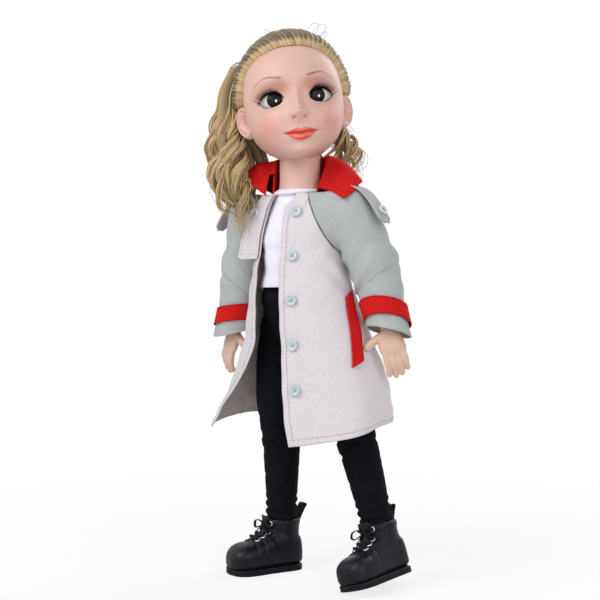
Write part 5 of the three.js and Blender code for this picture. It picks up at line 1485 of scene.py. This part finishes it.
def build_epaulettes():
    for name, side in SIDES.items():
        line = path([(45, 0, 255.4), (50, 0, 253.4), (56, 0, 248.4), (62.5, 0, 240.2), (68.5, 0, 231)], 48)
        share = np.linspace(0, 1, 48)[:, None]
        edge = np.linspace(-1, 1, 18)[None, :]
        half = 6.2 * (1 - 0.55 * ease(share, 0.88, 1.0))
        crown = 0.5 * (1 - edge**2)
        points = grid(side * (line[:, :1] + crown), half * edge - 1.0, line[:, 2:] + crown)
        obj = strip("epaulette_cloth_" + name, points, SLEEVE, 1.2, LINING)
        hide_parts("epaulette_" + name)
        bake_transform(obj)
        shell, threads = Build(), Build()
        row = 35
        across = np.array((0.0, 1.0, 0.0))
        along = unit(points[row + 2, 9] - points[row - 2, 9])
        out = np.cross(along, across)
        out *= np.sign(out[2])
        add_button(shell, threads, points[row, 9] + 0.7 * out, across, along, out, SMALL_BUTTON)
        step = np.gradient(points[:, 9], axis=0)
        ways = np.cross(step, across)
        ways *= (np.sign(ways[:, 2]) / np.linalg.norm(ways, axis=1))[:, None]
        for col in (1, -2):
            stitch_line(threads, points[2:-2, col] + 0.62 * ways[2:-2], ways[2:-2], 1.3, 0.16)
        for piece, slot in ((shell.piece("epaulette_button_" + name, BUTTON), "button"),
                            (threads.piece("epaulette_stitches_" + name, THREAD), "sleeve_cloth")):
            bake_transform(piece)


# Body and inner clothes

# Height above the hip pin, half-width, half-depth and set-back
TORSO_ROWS = np.array([
    (12, 26, 17, 1), (19, 28, 18.5, 1), (34, 23.5, 16.5, 0), (48, 24.75, 17.5, -0.5), (62, 26, 18.5, -0.5),
    (74, 25, 16, 0), (84, 19.5, 13.5, 0), (93, 13.4, 12.8, 0)], float)


BODY_COLS = 120


def body_rings(rows, rise, grow):
    """Oval rings round the body, from half-widths, half-depths and set-backs at heights above the hip pin."""
    a, b, back = through(rows[:, 0], rows[:, 1:], rise).T[:, :, None]
    angle = circle(BODY_COLS)[None, :]
    return grid((a + grow) * np.sin(angle), back - (b + grow) * np.cos(angle), HIP_HEIGHT + rise[:, None])


def build_neck():
    z = np.linspace(248, 282, 40)
    rows = np.array([(248, 15.6), (254, 14.6), (258, 13.9), (264, 13.6), (272, 13.6), (282, 13.8)])
    r = through(rows[:, 0], rows[:, 1:], z)
    angle = circle(72)[None, :]
    obj = closed("neck_skin", grid(r * np.sin(angle), -0.97 * r * np.cos(angle), z[:, None]), FACE)
    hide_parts("neck_stem")
    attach(obj, "torso")


def build_shirt():
    rise = np.linspace(27, 91.6, 90)
    rings = body_rings(TORSO_ROWS, rise, 1.75 + 2.0 * ease(46 - rise, 0, 11)[:, None])
    angle = circle(BODY_COLS)[None, :]
    lines = 0.5 * np.sin(0.42 * rise[:, None] + 2 * np.cos(angle)) * ease(70 - rise, 0, 25)[:, None]
    pull = 0.55 * np.sin(7 * angle + 0.12 * rise[:, None]) * ridge(rise - 52, 16)[:, None]
    out = unit(rings - rings.mean(axis=1, keepdims=True))
    rings = rings + out * (lines + pull)[..., None]
    obj = cloth("shirt_cloth", rings, SHIRT, around=True)
    thicken(obj, 0.8)
    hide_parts("t_shirt")
    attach(obj, "torso")
    angle = angle[0]
    band = grid(16.4 * np.sin(angle), -15.9 * np.cos(angle) - 0.3, HIP_HEIGHT + 90.6 - 1.6 * np.cos(angle))
    obj = closed("shirt_neckband", swept(np.concatenate((band, band[:2])), 1.5, 10, 0.8), SHIRT)
    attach(obj, "torso")


# Radius of the dome that closes a trouser leg at the hip
LEG_TOP = 14.2


def build_trousers():
    rows = np.array([(-14, 9.5, 9, 4), (-9, 16, 12, 4), (-3, 22, 14.5, 3), (5, 25, 16, 2), (12, 26, 17, 1),
                     (19, 28, 18.5, 1), (27, 25.5, 17.3, 0.5), (34, 23.5, 16.5, 0), (36, 23.3, 16.3, 0)])
    rise = np.linspace(-14, 36, 70)
    waistband = 0.6 * (rise > 29.5)[:, None]
    angle = circle(BODY_COLS)[None, :]
    creases = 0.35 * np.sin(0.5 * rise[:, None] + 3 * np.sin(2 * angle)) * ease(20 - rise, 0, 12)[:, None]
    obj = closed("trouser_seat_cloth", body_rings(rows, rise, 1.5 + waistband + creases), TROUSERS)
    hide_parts("trouser_seat")
    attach(obj, "torso")
    for name, side in SIDES.items():
        dome = np.radians((88, 70, 50, 30, 12))
        below = [(-4, LEG_TOP), (-16, 16), (-36, 16.6), (-52, 16), (-64, 14), (-78, 12.9), (-90, 12.2),
                 (-104, 11.5), (-118, 10.7), (-129, 10.4), (-134, 9.6)]
        rows = np.concatenate((LEG_TOP * np.stack((np.sin(dome), np.cos(dome)), -1), below))
        z = np.concatenate((np.linspace(LEG_TOP - 0.01, 0, 18), np.linspace(0, -134, 210)[1:]))
        r = through(-rows[:, 0], rows[:, 1:], -z)[:, 0]
        r = np.minimum(r, np.where(z > 0, np.sqrt(np.maximum(LEG_TOP**2 - z**2, 0.04)), 99))[:, None]
        angle = circle(72)[None, :]
        front = 0.5 + 0.5 * np.cos(angle)
        level = z[:, None]
        crease = 0.0
        knee = ((-70, 0.7, 4), (-75, 0.9, -3), (-80, 0.8, 5), (-86, 0.6, -4), (-58, 0.4, 6), (-98, 0.45, 5))
        for at, size, lean in knee:
            crease = crease - size * ridge(level - at - lean * np.sin(angle), 1.5) * (0.35 + 0.65 * front)
        uneven = 1.6 * np.sin(angle + side) + 0.9 * np.sin(2 * angle)
        gathers = 0.75 * np.sin(2 * np.pi * (level + uneven) / 5.6)
        gathers = gathers * ease(-level, 108, 122) * (1 - ease(-level, 129, 133))
        long = 0.3 * np.sin(2 * angle + 0.05 * level + side) * ease(-level, 10, 40)
        r = r + crease + gathers + long
        local = grid(r * np.sin(angle), -r * np.cos(angle), level)
        above = carried(local, "thigh_" + name)
        below = carried(local + (0, 0.8, THIGH), "shin_" + name)
        share = ease(-local[..., 2:], 70, 90)
        obj = closed("trouser_leg_" + name, above * (1 - share) + below * share, TROUSERS)
        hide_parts("trouser_thigh_" + name, "trouser_shin_" + name)
        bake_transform(obj)


# Hands and boots

FINGER_LENGTH = 16.5
FINGER_SHARES = (0.9, 1.0, 0.95, 0.78)
FINGER_SPACING = 3.85


def welded(obj, voxel, passes):
    """Joins overlapping forms into one skin and smooths it."""
    modify(obj, "REMESH", mode="VOXEL", voxel_size=voxel * MM, use_smooth_shade=True)
    modify(obj, "SMOOTH", factor=0.5, iterations=passes)


def build_hands():
    for name, side in SIDES.items():
        shell = Build()
        rows = np.array([(3, 4.4, 4.8, 0), (0, 4.5, 5.2, 0), (-4, 4.4, 7.0, -0.3), (-10, 4.1, 8.6, -0.5),
                         (-15, 3.4, 8.3, 0), (-17.5, 2.3, 7.2, 0)])
        z = np.linspace(3, -17.5, 26)
        a, b, y = through(-rows[:, 0], rows[:, 1:], -z).T[:, :, None]
        angle = circle(40)[None, :]
        hollow = 0.9 * ridge(np.sin(angle) * side + 1, 0.5) * ridge(z + 9, 5)[:, None]
        shell.tube(grid((a - hollow) * np.sin(angle), y - b * np.cos(angle), z[:, None]))
        t = np.linspace(0, 1, 30)
        tip = np.sqrt(np.clip((1.03 - t) / 0.12, 0.05, 1))
        for n, share in enumerate(FINGER_SHARES):
            y0 = (n - 1.5) * FINGER_SPACING
            reach = FINGER_LENGTH * share
            fan = (n - 1.4) * 0.025
            bend = ((0, 3), (0.3, -0.3 * reach), (-0.7, -0.62 * reach), (-2.6, -0.85 * reach), (-4.2, -reach))
            radius = (2.3 - 0.5 * t) * (1 + 0.07 * np.cos(2 * np.pi * (t - 0.5) * 2.2)) * tip
            add_cord(shell, [(side * c, y0 - fan * d, d - 15) for c, d in bend], 30, radius, 16)
        thumb = [(0, -3, -3), (-side * 0.8, -9, -5), (-side * 2, -14, -7.5), (-side * 3.2, -18, -9.5)]
        add_cord(shell, thumb, 30, (3.1 - 0.7 * t) * (1 + 0.06 * np.cos(9 * t)) * tip, 16)
        swivel = np.array(turn("Z", HAND_SWIVEL[name]).to_3x3())
        shell.points = [p @ swivel.T for p in shell.points]
        obj = shell.piece("hand_skin_" + name, place="hand_" + name)
        welded(obj, 0.42, 5)
        obj.data.materials.append(SKIN)
        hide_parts("hand_" + name)
        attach(obj, "hand_" + name)


SOLE = 4.0
HEEL = 13
FOOT_LENGTH = 51.5
BOOT_COLS = 64
# Place along the foot, half-width and height above the sole
FOOT_ROWS = np.array([
    (13, 6.4, 13), (11.6, 8.6, 18.5), (9.5, 10.6, 22.5), (4, 11.9, 26.5), (-6, 11.9, 25), (-15, 12.3, 20.2),
    (-24, 12.9, 16.2), (-31.5, 12.2, 14.4), (-35.3, 9.9, 12.4), (-37.6, 6.6, 9.6), (-38.5, 3.4, 6.8)])


def foot_rings(y):
    """Rings of the boot's foot, flatter below than above."""
    w, h = through(-FOOT_ROWS[:, 0], FOOT_ROWS[:, 1:], -y).T[:, :, None]
    angle = circle(BOOT_COLS)[None, :]
    below = np.sin(angle) < 0
    shape = lambda v: np.sign(v) * np.abs(v) ** np.where(below, 0.3, 0.74)
    z = h * (0.42 + np.where(below, 0.42, 0.58) * shape(np.sin(angle)))
    return grid(w * shape(np.cos(angle)), y[:, None], z)


def boot_place(points):
    """Points above the sole, in the shin's millimetres."""
    return np.asarray(points, float) + (0, 0, -SHIN + SOLE)


def spaced(start, length, count):
    """Places along the foot, closer at toe and heel."""
    return start - length * (0.5 - 0.5 * np.cos(np.linspace(0, np.pi, count)))


def build_boots():
    for name in SIDES:
        shell = Build()
        shell.tube(boot_place(foot_rings(spaced(HEEL, FOOT_LENGTH, 70))))
        z = np.linspace(6, 30, 30)[:, None]
        a = 10.9 + 0.7 * ease(z, 10, 30)
        angle = circle(BOOT_COLS)[None, :]
        shell.tube(boot_place(grid(a * np.cos(angle), 1 + 1.03 * a * np.sin(angle), z)))
        obj = shell.piece("boot_upper_leather_" + name, place="shin_" + name)
        welded(obj, 0.6, 8)
        shape_boot(obj, name)
        z = np.array((22.0, 31.5))[:, None]
        ring = grid(10.35 * np.cos(angle), 1 + 10.5 * np.sin(angle), z)
        tool = closed("boot_hole", boot_place(ring), place="shin_" + name)
        modify(obj, "BOOLEAN", object=tool, operation="DIFFERENCE", solver="EXACT")
        bpy.data.objects.remove(tool)
        obj.data.materials.append(LEATHER)
        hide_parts("boot_upper_" + name)
        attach(obj, "shin_" + name)
        build_sole(name)
        build_tongue(name)
        build_laces(obj, name)
        build_heel_loop(name)


def shape_boot(obj, name):
    """Raises a boot's toe cap, lace stays, heel counter and top band, and sinks its tongue."""
    mesh = obj.data
    inverse = np.array(PLACE["shin_" + name].inverted())
    co = np.zeros(len(mesh.vertices) * 3)
    mesh.vertices.foreach_get("co", co)
    co = co.reshape(-1, 3)
    normal = np.array([v.normal for v in mesh.vertices])
    doll = co / MM - SHIFT
    local = doll @ inverse[:3, :3].T + inverse[:3, 3] + (0, 0, SHIN - SOLE)
    x, y, z = local.T
    ax = np.abs(x)
    cap = 0.45 * ease(-y - 0.05 * x**2, 24.6, 25.3)
    instep = ease(-y, 2, 4) * ease(y, -24.5, -23.5) * ease(z, 13, 15)
    stays = 0.55 * instep * ease(ax, 2.7, 3.2) * (1 - ease(ax - 0.25 * (z - 15), 7.0, 7.5))
    slot = -1.0 * instep * (1 - ease(ax, 2.4, 2.9))
    counter = 0.45 * ease(y - 0.14 * (z - 8) ** 2 * 0.1, 3.2, 3.8) * (1 - ease(z, 17.5, 18.2)) * ease(z, 1, 2)
    band = 0.5 * ease(z, 26.4, 26.9) * ease(ax + 6 * (y > -4), 3, 3.4)
    welt = -0.35 * ridge(z - 1.6, 0.5)
    flex = -0.4 * ridge(y + 22 + 0.1 * x, 0.8) * ease(z, 9, 12) * ease(ax, 3, 6)
    flex += -0.35 * ridge(y + 19 - 0.15 * x, 0.7) * ease(z, 8, 11) * ease(ax, 6, 9)
    move = np.where(z > 0.9, cap + stays + slot + counter + band + welt + flex, 0)
    co = co + normal * (move * MM)[:, None]
    mesh.vertices.foreach_set("co", co.ravel())
    mesh.update()


def build_sole(name):
    """Sole with a groove round it, a little wider than the upper."""
    place = "shin_" + name
    y = spaced(13.4, 52.3, 90)
    w = through(-FOOT_ROWS[:, 0], FOOT_ROWS[:, 1:2], -np.clip(y, HEEL - FOOT_LENGTH, HEEL))[:, 0] + 0.45
    w = w * np.sqrt(np.clip((13.5 - y) / 1.2, 0, 1) * np.clip((y + 39) / 1.0, 0, 1) * 0.98 + 0.02)
    outline = np.concatenate((np.stack((w, y), -1), np.stack((-w[::-1], y[::-1]), -1)))
    middle = np.array((0, -12.0))
    profile = [(-2.4, 0.0), (0.0, 0.0), (0.35, 0.1), (0.6, 0.0), (0.6, 1.0), (0.3, 1.25), (0.6, 1.5),
               (0.6, 3.2), (0.2, 3.6), (-0.6, 3.95), (-1.6, 4.2)]
    way = unit(outline - middle)
    rings = []
    for grow, z in profile:
        flat = outline + way * (grow - 0.6)
        rings.append(np.column_stack((flat, np.full(len(flat), z - SHIN))))
    sole = closed("boot_sole_rubber_" + name, np.array(rings), RUBBER, place)
    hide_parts("boot_sole_" + name)
    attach(sole, place)


def build_tongue(name):
    place = "shin_" + name
    t = np.linspace(0, 1, 26)[:, None]
    u = np.linspace(-1, 1, 15)[None, :]
    line = path([(0, -24, 15.4), (0, -18.5, 18.3), (0, -14.2, 22), (0, -12.2, 27), (0, -12.6, 33)], 26)
    wide = 2.6 + 3.0 * ease(t, 0.45, 0.85) - 1.2 * ease(t, 0.93, 1)
    points = grid(wide * u, line[:, 1:2] + 0.06 * (wide * u) ** 2 - 0.4, line[:, 2:3])
    obj = cloth("boot_tongue_" + name, boot_place(points), LEATHER, place)
    thicken(obj, 1.2, None, 0.0)
    soften(obj, 0.3)
    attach(obj, place)


def build_laces(upper, name):
    """Eyelets on the lace stays, and the lace with its bow."""
    place = "shin_" + name
    tree = BVHTree.FromObject(upper, bpy.context.evaluated_depsgraph_get())
    inverse = np.array(PLACE[place].inverted())

    def snap(x, y, z):
        """Nearest place on the upper and its outward direction, in the boot's own millimetres."""
        start = Vector(spot(boot_place((x, y, z)), place))
        hit, normal, _, _ = tree.find_nearest(start)
        doll = np.array(hit) / MM - SHIFT
        local = inverse[:3, :3] @ doll + inverse[:3, 3]
        return local, inverse[:3, :3] @ np.array(normal)

    rims, laces = Build(), Build()
    holes = []
    for k, (yy, zz) in enumerate(((-20.6, 17.4), (-17.0, 20.2), (-14.0, 23.8), (-12.4, 28.0))):
        pair = []
        for s in (-1, 1):
            at, out = snap(s * (4.9 + 0.25 * k), yy + 0.8, zz)
            pair.append((at, out))
            across = unit(np.cross(out, (0, 0.3, 1)))
            rows = [(1.05, 0.1), (1.05, 0.35), (1.3, 0.55), (1.7, 0.5), (1.95, 0.2), (2.0, -0.2)]
            rims.tube(lathe(at, across, np.cross(across, out), out, rows, 20))
        holes.append(pair)
    for k, (left, right) in enumerate(holes):
        a, b = left[0], right[0]
        lift = 0.9 + 0.1 * k
        start, end = a + 0.2 * left[1], b + 0.2 * right[1]
        middle = (a + b) / 2 + (0, -lift - 0.5, 0.3)
        points = [start, start + 0.9 * left[1], middle, end + 0.9 * right[1], end]
        add_cord(laces, points, 22, 0.95, flat=0.55)
        if k < 3:
            for s in (0, 1):
                low, high = holes[k][s], holes[k + 1][1 - s]
                middle = (low[0] + high[0]) / 2 + (0, -0.9, 0.4)
                points = [low[0], low[0] + 0.5 * low[1], middle, high[0] + 0.5 * high[1], high[0]]
                add_cord(laces, points, 22, 0.85, flat=0.5)
    knot = (holes[3][0][0] + holes[3][1][0]) / 2 + (0, -1.8, -1.2)
    tied = np.array([(-2, 0.4, 0.5), (-0.6, -0.9, 0), (0.7, -0.8, 0.2), (2, 0.4, -0.4)])
    add_cord(laces, knot + tied, 14, 1.35, 10, 0.8)
    add_cord(laces, knot + np.array([(0, 0.5, 1.5), (0.2, -1.5, 0.2), (0, 0.3, -1.5)]), 12, 1.0, flat=0.7)
    for s in (-1, 1):
        bow = np.array([(0, 0, 0), (s * 4, -1.6, 2.4), (s * 9, -2.2, 1.2), (s * 11.2, -1.4, -1.8),
                        (s * 8, -2.4, -3.0), (s * 3.4, -1.6, -1.4), (0, 0, 0)])
        add_cord(laces, knot + bow, 40, 0.95, flat=0.42)
        end = np.array([(0, 0, 0), (s * 3, -2, -2.4), (s * 6.4, -3.6, -7.5), (s * 8.2, -2.6, -13)])
        if name == "right" and s > 0:
            end = np.array([(0, 0, 0), (4, -1.8, -2.6), (10.5, 1.5, -8), (14.2, 6, -15.4)])
        add_cord(laces, knot + end, 30, 0.9, flat=0.42)
    obj = rims.piece("boot_eyelets_" + name, EYELET, place)
    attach(obj, place)
    obj = laces.piece("boot_lace_braid_" + name, LACE, place)
    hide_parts("boot_lace_" + name)
    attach(obj, place)


def build_heel_loop(name):
    place = "shin_" + name
    t = np.linspace(-1, 1, 12)[None, :]
    line = path([(0, 12.4, 21), (0, 13.4, 28), (0, 16.8, 35), (0, 18.6, 38.5), (0, 16.6, 39), (0, 14.2, 35),
                 (0, 12.4, 28)], 40)
    points = boot_place(grid(2.6 * t, line[:, 1:2], line[:, 2:3]))
    obj = cloth("boot_heel_loop_" + name, points, LACE, place)
    thicken(obj, 0.7, None, 0.0)
    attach(obj, place)


# Camera, light and floor

CAMERA_FAR = 750.0
CAMERA_HEIGHT = 182.7
SENSOR = 36
FOCAL_LENGTH = 67.5
LIT_MIDDLE = Vector((0, 0, 0.19))
SHADE_LIGHT = 0.4
FLOOR_SIZE = 12
FLOOR_DROP = 0.0002


def build_stage():
    around = math.radians(CAMERA_TURN)
    lens = bpy.data.cameras.new("camera")
    lens.sensor_width = SENSOR
    lens.lens = FOCAL_LENGTH
    lens.clip_start = 0.01
    camera = bpy.data.objects.new("camera", lens)
    bpy.context.collection.objects.link(camera)
    eye = (CAMERA_FAR * math.sin(around), -CAMERA_FAR * math.cos(around), CAMERA_HEIGHT)
    camera.location = spot(eye)
    camera.rotation_euler = (math.pi / 2, 0, around)
    bpy.context.scene.camera = camera

    lamps = [("key", (-0.35, -0.95, 0.95), 0.8, 9.4), ("fill", (0.95, -0.55, 0.55), 0.9, 4.6),
             ("rim", (0.1, 0.9, 0.9), 0.7, 5.0)]
    for name, at, size, power in lamps:
        lamp = bpy.data.lights.new(name, "AREA")
        lamp.size = size
        lamp.energy = power
        obj = bpy.data.objects.new(name, lamp)
        bpy.context.collection.objects.link(obj)
        obj.location = at
        obj.rotation_euler = (LIT_MIDDLE - Vector(at)).to_track_quat("-Z", "Y").to_euler()

    world = bpy.data.worlds.new("studio")
    bpy.context.scene.world = world
    world.use_nodes = True
    tree = world.node_tree
    back = tree.nodes["Background"]
    back.inputs["Color"].default_value = (1, 1, 1, 1)
    rays = tree.nodes.new("ShaderNodeLightPath")
    seen = tree.nodes.new("ShaderNodeMath")
    seen.operation = "MAXIMUM"
    tree.links.new(rays.outputs["Is Camera Ray"], seen.inputs[0])
    tree.links.new(rays.outputs["Is Glossy Ray"], seen.inputs[1])
    level = tree.nodes.new("ShaderNodeMapRange")
    tree.links.new(seen.outputs[0], level.inputs["Value"])
    level.inputs["To Min"].default_value = SHADE_LIGHT
    level.inputs["To Max"].default_value = 1.0
    tree.links.new(level.outputs[0], back.inputs["Strength"])

    bpy.ops.object.select_all(action="DESELECT")
    bpy.ops.mesh.primitive_plane_add(size=FLOOR_SIZE, location=(0, 0, -FLOOR_DROP))
    floor = bpy.context.active_object
    floor.name = "floor"
    f = Finish("floor_paper", (0.86, 0.86, 0.86, 1), 0.9)
    paper = f.node("Emission", {"Color": (1, 1, 1, 1), "Strength": 1.0})
    rays = f.node("LightPath")
    middle = f.node("VectorMath", {0: f.place()}, operation="LENGTH").outputs["Value"]
    share = f.math("MULTIPLY", rays.outputs["Is Camera Ray"], f.between(middle, 0.12, 0.5, 0.8, 1.0))
    both = f.node("MixShader", {0: share, 1: f.shader.outputs[0], 2: paper.outputs[0]})
    f.tree.links.new(both.outputs[0], f.tree.nodes["Material Output"].inputs["Surface"])
    floor.data.materials.append(f.mat)

    bpy.context.scene.view_settings.view_transform = "Standard"


def finish_solids():
    """Finishes for the solids that stay as they are."""
    looks = {"vinyl": SKIN, "peg_plastic": PEG, "pin_steel": STEEL, "eye": LASH, "hair": HAIR,
             "shirt_cloth": SHIRT, "trouser_cloth": TROUSERS, "sleeve_cloth": SLEEVE, "red_cloth": RED,
             "button": BUTTON, "coat_cloth": COAT, "sole": RUBBER, "lace": LACE, "boot_leather": LEATHER}
    for row in frame["record"]["subparts"]:
        obj = frame["nodes"][row["node"]]
        if not obj.hide_render:
            obj.data.materials.clear()
            obj.data.materials.append(looks[row["material_slot"]])


build_stage()
build_head()
build_eyes()
build_ears()
build_lashes()
build_hair_cap()
build_long_hair()
build_neck()
build_shirt()
build_trousers()
build_coat()
build_collar()
build_sleeves()
build_front_buttons()
build_storm_flap()
build_pocket_welts()
build_epaulettes()
build_hands()
build_boots()
finish_solids()
